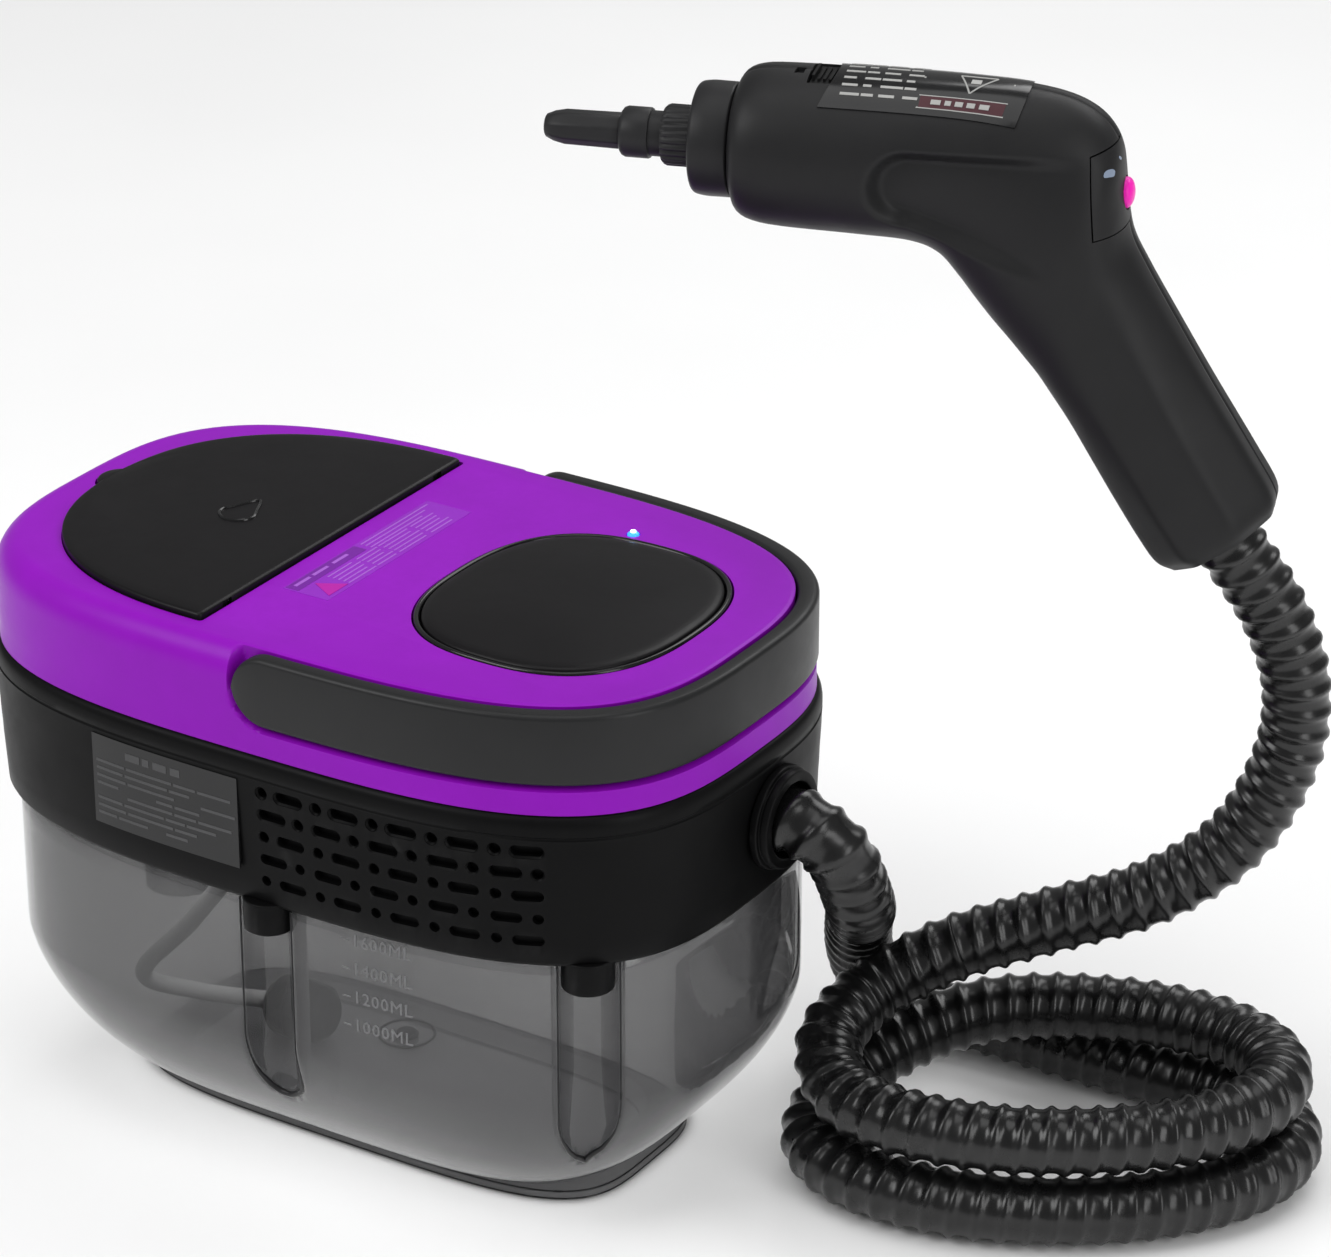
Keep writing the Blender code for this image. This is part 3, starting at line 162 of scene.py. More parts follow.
class Nodes:
    """One node material; inputs are numbers, colours of three numbers, or outputs to link."""

    def __init__(self, name):
        self.material = bpy.data.materials.new(name)
        self.material.use_nodes = True
        self.tree = self.material.node_tree
        self.shader = self.tree.nodes["Principled BSDF"]
        self.place = self.add("ShaderNodeTexCoord").outputs["Object"]

    def feed(self, node, inputs):
        for name, value in inputs.items():
            if isinstance(value, bpy.types.NodeSocket):
                self.tree.links.new(value, node.inputs[name])
            else:
                node.inputs[name].default_value = (*value, 1.0) if isinstance(value, tuple) else value

    def add(self, kind, inputs=None, **settings):
        node = self.tree.nodes.new(kind)
        for name, value in settings.items():
            setattr(node, name, value)
        self.feed(node, inputs or {})
        return node

    def noise(self, scale, detail=3.0, roughness=0.5):
        inputs = {"Scale": scale, "Detail": detail, "Roughness": roughness, "Vector": self.place}
        return self.add("ShaderNodeTexNoise", inputs).outputs["Fac"]

    def span(self, source, low, high, start=0.3, end=0.7):
        """The source, mapped from start..end to low..high."""
        inputs = {"From Min": start, "From Max": end, "To Min": low, "To Max": high, "Value": source}
        return self.add("ShaderNodeMapRange", inputs).outputs["Result"]

    def mix(self, factor, first, second):
        inputs = {"Factor": factor, "A": first, "B": second}
        return self.add("ShaderNodeMix", inputs, data_type="RGBA").outputs["Result"]

    def bump(self, height, strength, distance):
        inputs = {"Strength": strength, "Distance": distance, "Height": height}
        return self.add("ShaderNodeBump", inputs).outputs["Normal"]

    def finish(self, inputs):
        """Feeds the shader and gives the material."""
        self.feed(self.shader, inputs)
        return self.material


def shade(colour, factor):
    return tuple(min(1.0, channel * factor) for channel in colour)


def moulded(name, colour, roughness, grain, grain_depth, spread, edge, coat=0.0, shine=0.25):
    """Moulded plastic: fine spark-eroded grain, faint flow mottling and rubbed edges."""
    made = Nodes(name)
    mottle = made.span(made.noise(34.0, 5.0, 0.6), 0.0, 1.0)
    body = made.mix(mottle, shade(colour, 1.0 - spread), shade(colour, 1.0 + spread))
    worn = made.span(made.add("ShaderNodeNewGeometry").outputs["Pointiness"], 0.0, edge, 0.52, 0.60)
    patchy = made.span(made.noise(260.0, 4.0, 0.7), 0.2, 1.0)
    rub = made.add("ShaderNodeMath", {0: worn, 1: patchy}, operation="MULTIPLY").outputs[0]
    pale = tuple(min(1.0, channel * 1.8 + 0.03) for channel in colour)
    smudge = made.noise(60.0, 6.0, 0.65)
    return made.finish({
        "Base Color": made.mix(rub, body, pale),
        "Roughness": made.span(smudge, roughness - 0.05, roughness + 0.06),
        "Normal": made.bump(made.noise(grain, 2.0, 0.5), 0.35, grain_depth),
        "Coat Weight": coat,
        "Coat Roughness": 0.12,
        "Specular IOR Level": shine,
    })


def printed(name, colour, roughness, spread, grain=2000.0, coat=0.0):
    """Ink or a thin film, and also the painted shade lines and painted highlight marks on the tank: plastic
    with almost no grain and no rubbed edges.
    """
    return moulded(name, colour, roughness, grain, 0.00001, spread, 0.0, coat)


def smoked(name, colour, alpha, rim):
    """See-through plastic that thickens to the eye at grazing angles, with faint flow lines."""
    made = Nodes(name)
    flow = made.span(made.noise(9.0, 4.0, 0.6), 0.0, 1.0)
    facing = made.add("ShaderNodeLayerWeight", {"Blend": 0.35}).outputs["Facing"]
    return made.finish({
        "Base Color": made.mix(flow, shade(colour, 0.92), shade(colour, 1.08)),
        "Alpha": made.span(facing, alpha, rim, 0.1, 0.95),
        "Roughness": made.span(made.noise(45.0, 3.0), 0.05, 0.11),
        "Normal": made.bump(made.noise(14.0, 2.0), 0.08, 0.0008),
        "Coat Weight": 0.5,
        "Coat Roughness": 0.04,
    })


def metal(name, colour, roughness, scale=300.0):
    made = Nodes(name)
    tone = made.span(made.noise(scale, 4.0, 0.6), 0.0, 1.0)
    return made.finish({
        "Base Color": made.mix(tone, shade(colour, 0.86), colour),
        "Roughness": made.span(made.noise(scale * 0.4, 5.0), roughness - 0.06, roughness + 0.1),
        "Metallic": 1.0,
        "Normal": made.bump(made.noise(scale * 3.0, 2.0), 0.2, 0.00003),
    })


def lamp(name, colour, strength):
    made = Nodes(name)
    tone = made.span(made.noise(900.0, 2.0), 0.0, 1.0)
    return made.finish({
        "Base Color": made.mix(tone, shade(colour, 0.9), colour),
        "Emission Color": colour,
        "Emission Strength": strength,
        "Roughness": 0.15,
    })


PURPLE = moulded("purple_satin", (0.24, 0.003, 0.425), 0.36, 2600.0, 0.00002, 0.05, 0.12, shine=0.14)
BLACK = moulded("black_satin", (0.0034, 0.0034, 0.0036), 0.40, 2200.0, 0.00003, 0.12, 0.30, shine=0.08)
LID_BLACK = moulded("lid_satin", (0.005, 0.0045, 0.0052), 0.34, 2600.0, 0.00002, 0.10, 0.25, shine=0.16)
GLOSS = moulded("black_gloss", (0.006, 0.006, 0.0065), 0.16, 900.0, 0.00001, 0.10, 0.10, 0.15, 0.3)
CHARCOAL = moulded("handle_charcoal", (0.013, 0.0132, 0.0138), 0.38, 2400.0, 0.00003, 0.07, 0.22)
GUN_GREY = moulded("gun_matt", (0.0124, 0.0124, 0.0131), 0.46, 2600.0, 0.00004, 0.08, 0.20, shine=0.22)
GUN_BLACK = moulded("gun_fittings", (0.0155, 0.0155, 0.0164), 0.42, 2400.0, 0.00003, 0.08, 0.30, shine=0.22)
PINK = moulded("pink_button", (0.86, 0.012, 0.44), 0.33, 1500.0, 0.00002, 0.03, 0.05)
HOSE = moulded("hose_gloss", (0.0042, 0.0042, 0.0044), 0.28, 900.0, 0.00001, 0.15, 0.10, 0.06, 0.5)
RUBBER = moulded("black_rubber", (0.014, 0.014, 0.0145), 0.62, 1300.0, 0.00005, 0.15, 0.25)
SILICONE = moulded("grey_silicone", (0.20, 0.20, 0.20), 0.45, 1500.0, 0.00003, 0.08, 0.1)
BOARD = moulded("circuit_green", (0.015, 0.10, 0.04), 0.40, 1600.0, 0.00003, 0.15, 0.1)
FOOT_GREY = moulded("pad_foot_grey", (0.105, 0.105, 0.107), 0.50, 1300.0, 0.00004, 0.10, 0.2)
# The pad under the tank is pale grey as painted light: it brightens the shadowed bottom seen through the
# smoked walls.
PAD_PAINTED_LIGHT = moulded("pad_pale_painted_light", (0.58, 0.58, 0.59), 0.55, 1300.0, 0.00004, 0.08, 0.1)
# Dark lines on the tank: painted shade along the flute lips, and the foot's edge lines and the floor boss.
TANK_EDGE = printed("tank_edge", (0.016, 0.016, 0.017), 0.30, 0.10, 1500.0)
# Pale grey for the level marks: a painted highlight for the light their raised letters catch.
LEVEL_GREY = printed("level_grey", (0.165, 0.165, 0.17), 0.30, 0.08, 1500.0)
MARK_GREY = printed("mark_grey", (0.06, 0.06, 0.062), 0.45, 0.12)
MARK_PALE = printed("mark_pale", (0.34, 0.34, 0.33), 0.45, 0.08)
MARK_WINE = printed("mark_wine", (0.055, 0.012, 0.018), 0.35, 0.08)
MARK_LILAC = printed("mark_lilac", (0.34, 0.10, 0.55), 0.40, 0.06)
MARK_PLUM = printed("mark_plum", (0.155, 0.01, 0.30), 0.34, 0.06)
MARK_MAGENTA = printed("mark_magenta", (0.42, 0.006, 0.34), 0.36, 0.06)
MARK_PANEL = printed("mark_panel", (0.25, 0.018, 0.465), 0.24, 0.05)
MARK_BLUE = printed("lamp_blue_grey", (0.22, 0.27, 0.36), 0.25, 0.05, 1500.0, 0.2)
SMOKED = smoked("smoked_tank", (0.052, 0.052, 0.054), 0.43, 0.84)
STEEL = metal("zinc_steel", (0.56, 0.56, 0.57), 0.30)
ALUMINIUM = metal("cast_aluminium", (0.62, 0.63, 0.64), 0.42, 420.0)
BRASS = metal("drawn_brass", (0.62, 0.44, 0.17), 0.28)
BLUE_LAMP = lamp("blue_lamp", (0.03, 0.26, 1.0), 1.5)
WHITE_LAMP = lamp("white_lamp", (0.75, 0.92, 1.0), 2.0)

# The record's slot that each material belongs to.
SLOTS = {
    "smoked_tank": (SMOKED, TANK_EDGE, LEVEL_GREY),
    "seal_silicone": (SILICONE, FOOT_GREY),
    "black_plastic": (BLACK, LID_BLACK, GUN_BLACK),
    "gloss_black": (GLOSS, MARK_GREY, MARK_PALE, MARK_WINE),
    "purple_plastic": (PURPLE, MARK_PANEL, MARK_PLUM, MARK_LILAC, MARK_MAGENTA),
    "charcoal_plastic": (CHARCOAL, GUN_GREY),
    "lamp_lens": (BLUE_LAMP, WHITE_LAMP, MARK_BLUE),
    "hose_plastic": (HOSE,),
    "pad_rubber": (RUBBER,),
    "pink_plastic": (PINK,),
    "brass": (BRASS,),
}
SLOT_OF = {material.name: slot for slot, group in SLOTS.items() for material in group}

# ------------------------------------------------------------------ meshes


def add_object(name, data):
    item = bpy.data.objects.new(name, data)
    bpy.context.scene.collection.objects.link(item)
    return item


def gun_to_world(point):
    return GUN_ORIGIN + GUN_TURN @ Vector(point)


def smooth_shade(mesh, sharp=38.0):
    mesh.shade_smooth()
    mesh.set_sharp_from_angle(angle=math.radians(sharp))


def solid(name, shape, gun=False):
    """A mesh object; gun says that the shape is in the gun's own frame."""
    vertices, faces = shape
    work = bmesh.new()
    made = [work.verts.new(gun_to_world(point) if gun else Vector(point)) for point in vertices]
    for face in faces:
        work.faces.new([made[index] for index in face])
    bmesh.ops.remove_doubles(work, verts=work.verts, dist=1e-6)
    bmesh.ops.recalc_face_normals(work, faces=work.faces)
    mesh = bpy.data.meshes.new(name)
    work.to_mesh(mesh)
    work.free()
    return add_object(name, mesh)


def piece(name, shape, material, body="base", node=None, slot=None, sharp=38.0):
    """A finished piece that rides on a CAD body and stands for a CAD node, if one is given."""
    item = solid(name, shape, body in GUN_BODIES)
    smooth_shade(item.data, sharp)
    item.data.materials.append(material)
    if body:
        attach(item, body)
    if node:
        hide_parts(node)
    slot or SLOT_OF[material.name]
    return item


def cut(item, shape, operation="DIFFERENCE", gun=False):
    """Applies one Boolean and keeps the smooth shading."""
    tool = solid("tool", shape, gun)
    modifier = item.modifiers.new("cut", "BOOLEAN")
    modifier.operation = operation
    modifier.object = tool
    modifier.solver = "EXACT"
    graph = bpy.context.evaluated_depsgraph_get()
    made = bpy.data.meshes.new_from_object(item.evaluated_get(graph), depsgraph=graph)
    item.modifiers.clear()
    item.data = made
    smooth_shade(made)
    bpy.data.objects.remove(tool)


def skin(rows, loop=False):
    """Rings joined in order, with flat ends unless the rings form a loop."""
    rows = np.asarray(rows, float)
    count, size = rows.shape[:2]
    faces = []
    for row in range(count if loop else count - 1):
        low = row * size
        high = (row + 1) % count * size
        for index in range(size):
            after = (index + 1) % size
            faces.append((low + index, low + after, high + after, high + index))
    if not loop:
        faces.append(tuple(range(size))[::-1])
        faces.append(tuple((count - 1) * size + index for index in range(size)))
    return rows.reshape(-1, 3), faces


def join(shapes):
    """Several shapes as one."""
    vertices = []
    faces = []
    for points, sides in shapes:
        start = len(vertices)
        vertices.extend(tuple(point) for point in points)
        faces.extend(tuple(start + index for index in side) for side in sides)
    return vertices, faces


def level(flat, z):
    """Flat points at one height."""
    return np.column_stack([flat, np.full(len(flat), z)])


def signed_power(value, power):
    return np.sign(value) * np.abs(value) ** power


def running_length(x, y):
    return np.concatenate([[0.0], np.cumsum(np.hypot(np.diff(x), np.diff(y)))])


def points_at(at, x, y, length):
    """Flat points of a polyline at the given running lengths."""
    return np.column_stack([np.interp(at, length, x), np.interp(at, length, y)])


@functools.lru_cache(maxsize=None)
def outline_table(half_x, half_y, power, count=2880):
    """A fine superellipse polyline as x, y and running length."""
    turn = np.linspace(0.0, 2.0 * np.pi, count + 1)
    x = half_x * signed_power(np.cos(turn), 2.0 / power)
    y = half_y * signed_power(np.sin(turn), 2.0 / power)
    return x, y, running_length(x, y)


def body_table(inset, count=2880):
    return outline_table(HALF_LENGTH - inset, HALF_WIDTH - inset, BODY_POWER, count)


def oval(half_x, half_y, power, z, count, centre_x=0.0):
    """A level outline with evenly spaced points."""
    table = outline_table(half_x, half_y, power)
    flat = points_at((np.arange(count) + 0.5) / count * table[2][-1], *table)
    return level(flat + (centre_x, 0.0), z)


def body_ovals(profile, count):
    """Rings of the body's outline from (height, inset) pairs."""
    return [oval(HALF_LENGTH - inset, HALF_WIDTH - inset, BODY_POWER, z, count) for z, inset in profile]


def turns(count):
    """Evenly spaced angles round a full turn."""
    return [2.0 * math.pi * index / count for index in range(count)]


def circle(centre, side, other, reaches):
    """A ring of points, one for each distance from the centre."""
    return [centre + side * (reach * math.cos(turn)) + other * (reach * math.sin(turn))
            for reach, turn in zip(reaches, turns(len(reaches)))]


def turned(profile, start, axis, count, loop=False, section=None):
    """A turned profile; section(angle, index) scales the radius round the turn."""
    axis = axis.normalized()
    side = axis.cross(UP if abs(axis.z) < 0.9 else FORWARD).normalized()
    other = axis.cross(side)
    rows = []
    for row, (along, radius) in enumerate(profile):
        reaches = [radius * (section(turn, row) if section else 1.0) for turn in turns(count)]
        rows.append(circle(Vector(start) + axis * along, side, other, reaches))
    return skin(rows, loop)


def rounded(profile, radius=0.0005, steps=3):
    """The profile with its corners replaced by short arcs."""
    points = [Vector(point) for point in profile]
    made = [points[0]]
    for before, point, after in zip(points, points[1:], points[2:]):
        reach = min(radius, (before - point).length * 0.45, (after - point).length * 0.45)
        start = point + (before - point).normalized() * reach
        end = point + (after - point).normalized() * reach
        for step in range(steps + 1):
            share = step / steps
            made.append(start.lerp(point, share).lerp(point.lerp(end, share), share))
    return [tuple(point) for point in (*made, points[-1])]


def block(low, high):
    ring = [(low[0], low[1]), (high[0], low[1]), (high[0], high[1]), (low[0], high[1])]
    return skin([[(x, y, z) for x, y in ring] for z in (low[2], high[2])])


def frames(path, closed=False, normal=None):
    """Each point of a path with two directions square to it, carried along without a twist."""
    last = len(path) - 1
    for index, point in enumerate(path):
        before = path[index - 1] if closed or index else path[0]
        after = path[(index + 1) % len(path)] if closed or index < last else path[-1]
        along = (after - before).normalized()
        if normal is None:
            normal = UP if closed else along.orthogonal().normalized()
        normal = (normal - along * normal.dot(along)).normalized()
        yield index, point, normal, along.cross(normal)


def tube(path, radius, sides, closed=False):
    """A round section along a path; the radius is a number or a function of the step."""
    rows = []
    for index, point, normal, other in frames(path, closed):
        reach = radius(index) if callable(radius) else radius
        rows.append(circle(point, normal, other, [reach] * sides))
    return skin(rows, loop=closed)


def catmull_rom(before, first, second, after, t):
    """The smooth curve from first (t = 0) to second (t = 1)."""
    bend = (before * 2.0 - first * 5.0 + second * 4.0 - after) * t * t
    twist = (first * 3.0 - before - second * 3.0 + after) * t * t * t
    return 0.5 * (first * 2.0 + (second - before) * t + bend + twist)


def smooth_path(points, step):
    """Evenly spaced points along a smooth curve through the given ones."""
    ends = [points[0] * 2.0 - points[1], *points, points[-1] * 2.0 - points[-2]]
    fine = []
    for four in zip(ends, ends[1:], ends[2:], ends[3:]):
        fine.extend(catmull_rom(*four, index / 24.0) for index in range(24))
    fine.append(points[-1])
    places = np.array(fine)
    length = np.concatenate([[0.0], np.cumsum(np.linalg.norm(np.diff(places, axis=0), axis=1))])
    at = np.linspace(0.0, length[-1], max(2, round(length[-1] / step)) + 1)
    return [Vector(point) for point in zip(*(np.interp(at, length, axis) for axis in places.T))]


def smooth_share(value):
    """0 below 0, 1 above 1, and a smooth rise between."""
    value = np.clip(value, 0.0, 1.0)
    return value * value * (3.0 - 2.0 * value)


# -------------------------------------------------------------------- tank


def tank_size(z):
    """Half length, half width and power of the tank's outline at one height."""
    share = min(max((z - FOOT_TOP) / TANK_CURVE[0], 0.0), 1.0)
    spread = (1.0 - (1.0 - share) ** TANK_CURVE[1]) ** (1.0 / TANK_CURVE[1])
    full = (HALF_LENGTH * TANK_SCALE, HALF_WIDTH * TANK_SCALE, BODY_POWER)
    return tuple(foot + (body - foot) * spread for foot, body in zip(FOOT, full))


def flute_normal(x, y):
    """The level direction from a flute's centre to the nearest point of the tank's side."""
    px, py, _ = outline_table(*tank_size(FLUTE_LEVEL))
    nearest = np.argmin(np.hypot(px - x, py - y))
    normal = np.array([px[nearest] - x, py[nearest] - y])
    return normal / np.linalg.norm(normal)


FLUTE_NORMALS = [flute_normal(x, y) for x, y, _ in FLUTES]


def flute_radius(index, z):
    """Radius of a flute at one height, which shrinks like a ball at its lower end."""
    drop = max(FLUTES[index][2] - z, 0.0) / FLUTE_RADIUS
    return FLUTE_RADIUS * math.sqrt(max(1.0 - drop * drop, 0.0))


def flute_place(index, across, outwards):
    """World x and y of points given in a flute's own directions."""
    cx, cy, _ = FLUTES[index]
    nx, ny = FLUTE_NORMALS[index]
    return np.column_stack([cx - across * ny + outwards * nx, cy + across * nx + outwards * ny])


def beside_flute(index, x, y):
    """The outline past one flute: across and outwards, in order across it, and which points."""
    cx, cy, _ = FLUTES[index]
    nx, ny = FLUTE_NORMALS[index]
    across = (y - cy) * nx - (x - cx) * ny
    outwards = (x - cx) * nx + (y - cy) * ny
    near = (x * nx + y * ny > 0.0) & (np.abs(across) < 0.03)
    chosen = np.flatnonzero(near)[np.argsort(across[near])]
    return across[chosen], outwards[chosen], chosen


def flute_foot(height_at, radius, side, fillet):
    """On one side of a flute: the level its fillet ends at, and how far across its wall stands."""
    landing = float(height_at(side * radius)) - fillet
    if landing >= 0.0:
        return landing, radius
    return landing, math.sqrt(max(radius * radius - landing * landing, 0.0))


def flute_path(height_at, radius):
    """The tank's side across one flute, as (across, outwards) points, with filleted lips."""
    depth = max(float(height_at(0.0)) + radius, 0.0)
    if radius < 1e-5 or depth < 1e-4:
        across = np.linspace(-FLUTE_SPAN, FLUTE_SPAN, FLUTE_POINTS)
        return np.column_stack([across, height_at(across)])
    fillet = min(FLUTE_FILLET, FILLET_SHARE * depth)

    def on_side(across):
        return across, float(height_at(across))

    halves = []
    for side in (-1.0, 1.0):
        landing, foot = flute_foot(height_at, radius, side, fillet)
        arc_start = math.asin(min(foot / radius, 1.0)) if landing < 0.0 else math.pi / 2.0
        start = side * (foot + fillet)
        out = [on_side(side * FLUTE_SPAN), on_side((side * FLUTE_SPAN + start) / 2.0)]
        lip, corner = Vector(on_side(start)), Vector(on_side(side * foot))
        base = Vector((side * foot, landing))
        for share in np.arange(9) / 8.0:
            out.append(tuple(lip.lerp(corner, share).lerp(corner.lerp(base, share), share)))
        for step in range(13):
            angle = arc_start * (1.0 - step / 12.0)
            out.append((side * radius * math.sin(angle), -radius * math.cos(angle)))
        halves.append(out)
    x, y = np.array(halves[0] + halves[1][::-1][1:]).T
    length = running_length(x, y)
    return points_at(np.linspace(0.0, length[-1], FLUTE_POINTS), x, y, length)


def tank_ring(z, shrink=0.0):
    """One level ring of the tank's outside, with the flutes pressed in."""
    half_x, half_y, power = tank_size(z)
    x, y, length = outline_table(half_x - shrink, half_y - shrink, power)
    parts = []
    spans = []
    for index in range(len(FLUTES)):
        across, outwards, chosen = beside_flute(index, x, y)
        height_at = functools.partial(np.interp, xp=across, fp=outwards)
        parts.append(flute_place(index, *flute_path(height_at, flute_radius(index, z)).T))
        spans.append(np.interp((-FLUTE_SPAN, FLUTE_SPAN), across, length[chosen]))
    ring = []
    for index, (part, plain_count) in enumerate(zip(parts, (34, 60, 34, 26))):
        start = spans[index][1]
        end = spans[(index + 1) % len(spans)][0]
        if end < start:
            end += length[-1]
        at = np.linspace(start, end, plain_count + 2)[1:-1] % length[-1]
        ring += [part, points_at(at, x, y, length)]
    return level(np.vstack(ring), z)


def flute_edge(index, z, side):
    """Where one lip of a flute meets the tank's side, and how deep the flute is there."""
    x, y, _ = outline_table(*tank_size(z))
    across, outwards, _ = beside_flute(index, x, y)
    height_at = functools.partial(np.interp, xp=across, fp=outwards)
    radius = flute_radius(index, z)
    depth = float(height_at(0.0)) + radius
    fillet = min(FLUTE_FILLET, FILLET_SHARE * max(depth, 0.0))
    place = side * (flute_foot(height_at, radius, side, fillet)[1] + 0.25 * fillet)
    point = flute_place(index, place, float(height_at(place)) - 0.25 * fillet)[0]
    return Vector((*point, z)), depth


def inward(ring, distance):
    """A level ring offset towards its inside."""
    step = np.roll(ring, -1, axis=0) - np.roll(ring, 1, axis=0)
    normal = np.column_stack([-step[:, 1], step[:, 0], np.zeros(len(ring))])
    return ring + normal / np.linalg.norm(normal, axis=1)[:, None] * distance


def build_tank():
    quarter = np.linspace(0.0, math.pi / 2.0, 30)
    curve = FOOT_TOP + TANK_CURVE[0] * (1.0 - np.cos(quarter) ** (2.0 / TANK_CURVE[1]))
    levels = [TANK_BASE, FOOT_TOP - 0.0004, *(z for z in curve if z > FOOT_TOP + 0.0001)]
    levels += [0.062, 0.07, 0.078, 0.086, 0.093, 0.099]
    rim = tank_ring(TANK_RIM, TANK_RIM_INSET)
    outer = [*map(tank_ring, levels), tank_ring(BAND_BOTTOM - 0.0004, TANK_RIM_INSET), rim]
    inner = [tank_ring(z) for z in levels if z > FOOT_TOP + 0.0026] + [rim]
    rows = outer + [inward(ring, TANK_WALL) for ring in inner[::-1]]
    piece("tank_shell", skin(rows), SMOKED, node="tank", sharp=60.0)


def painted_flute_shade(index):
    """A dark line down one lip of a flute, round its lower end and up the other: painted shade along the
    lips, thickening at the lower end into a painted shadow of the flute's rounded bottom.
    """
    turn_in = FLUTES[index][2] + 0.002
    heights = [*np.linspace(BAND_BOTTOM - 0.0012, turn_in, 30)]
    heights += [turn_in - 0.0105 * share for share in np.linspace(0.02, 1.0, 50)]
    sides = []
    for side in (-1.0, 1.0):
        points = []
        for z in heights:
            point, depth = flute_edge(index, z, side)
            if depth < 0.00015:
                break
            points.append(point)
        sides.append(points)
    path = sides[0] + sides[1][::-1]
    lowest = min(point.z for point in path)

    # Wider towards the lowest point: the crescent of painted shadow under the flute's rounded bottom.
    def width(step):
        return 0.00028 + 0.0007 * float(smooth_share((lowest + 0.014 - path[step].z) / 0.014))

    return tube(path, width, 8)


def foot_ring(inset, z):
    return oval(FOOT_STEP[0] - inset, FOOT_STEP[1] - inset, FOOT_STEP[2], z, 200)


def build_tank_edges():
    """Painted shade lines round the flutes' lips, and the stepped foot with its two edge lines."""
    lips = join(painted_flute_shade(index) for index in range(len(FLUTES)))
    piece("flute_lips", lips, TANK_EDGE, sharp=180.0)
    profile = ((0.0125, 0.0004), (0.0004, 0.0004), (0.0, 0.0008),
               (0.0, 0.0026), (0.0004, 0.003), (0.0125, 0.003))
    piece("pad_foot", skin([foot_ring(*pair) for pair in profile], loop=True), FOOT_GREY)
    beads = [tube([Vector(point) for point in foot_ring(0.0001, z)], 0.00028, 8, closed=True)
             for z in (0.0005, 0.003)]
    piece("foot_lines", join(beads), TANK_EDGE, sharp=180.0)


def build_graduations():
    """Raised level marks on the near side of the tank, their pale grey a painted highlight for the light the
    raised letters catch.
    """
    shapes = []
    for z, words in ((0.0952, "1600ML"), (0.0858, "1400ML"), (0.0764, "1200ML"), (0.067, "1000ML")):
        letters = bpy.data.curves.new("level", "FONT")
        letters.body = words
        letters.size = 0.0056
        letters.extrude = 0.00018
        letters.space_character = 1.12
        letters.resolution_u = 2
        holder = add_object("level", letters)
        graph = bpy.context.evaluated_depsgraph_get()
        mesh = bpy.data.meshes.new_from_object(holder.evaluated_get(graph))
        bpy.data.objects.remove(holder)
        half_x, half_y, power = tank_size(z)

        def side_y(x):
            return half_y * (1.0 - abs(x / half_x) ** power) ** (1.0 / power)

        points = []
        for vertex in mesh.vertices:
            x = 0.0335 + vertex.co.x
            points.append((x, -side_y(x) - 0.00002 - vertex.co.z, z + vertex.co.y))
        shapes.append((points, [tuple(face.vertices) for face in mesh.polygons]))
        y = side_y(0.03)
        shapes.append(block((0.03, -y - 0.00015, z + 0.0014), (0.0326, -y + 0.0001, z + 0.0018)))
    piece("level_marks", join(shapes), LEVEL_GREY)


# -------------------------------------------------------------------- band


def side_point(arc, z, inset, side=-1.0):
    """A point of the near (-1) or far (1) side at a running length from x = 0, with its directions."""
    x, y, length = body_table(inset)
    at = length[-1] / 4.0 - arc
    (px, py), (ahead_x, ahead_y) = points_at((at, at - 0.0005), x, y, length)
    tangent = Vector((ahead_x - px, ahead_y - py, 0.0)).normalized()
    normal = Vector((-tangent.y, tangent.x * side, 0.0))
    return Vector((px, py * side, z)), Vector((tangent.x, tangent.y * side, 0.0)), normal


def vent(arc, z, half_length, side):
    """A slot cutter with a flared mouth, square to the band's side."""
    centre, tangent, normal = side_point(arc, z, 0.0002, side)
    rows = []
    for out, grow in ((0.001, 0.0005), (0.0001, 0.0005), (-0.0005, 0.0), (-0.003, 0.0)):
        ring = []
        for turn in turns(20):
            across = math.cos(turn) * (VENT_RADIUS + grow)
            across += math.copysign(max(half_length - VENT_RADIUS, 0.0), across)
            up = math.sin(turn) * (VENT_RADIUS + grow)
            ring.append(centre + tangent * across + Vector((0.0, 0.0, up)) + normal * out)
        rows.append(ring)
    return skin(rows)


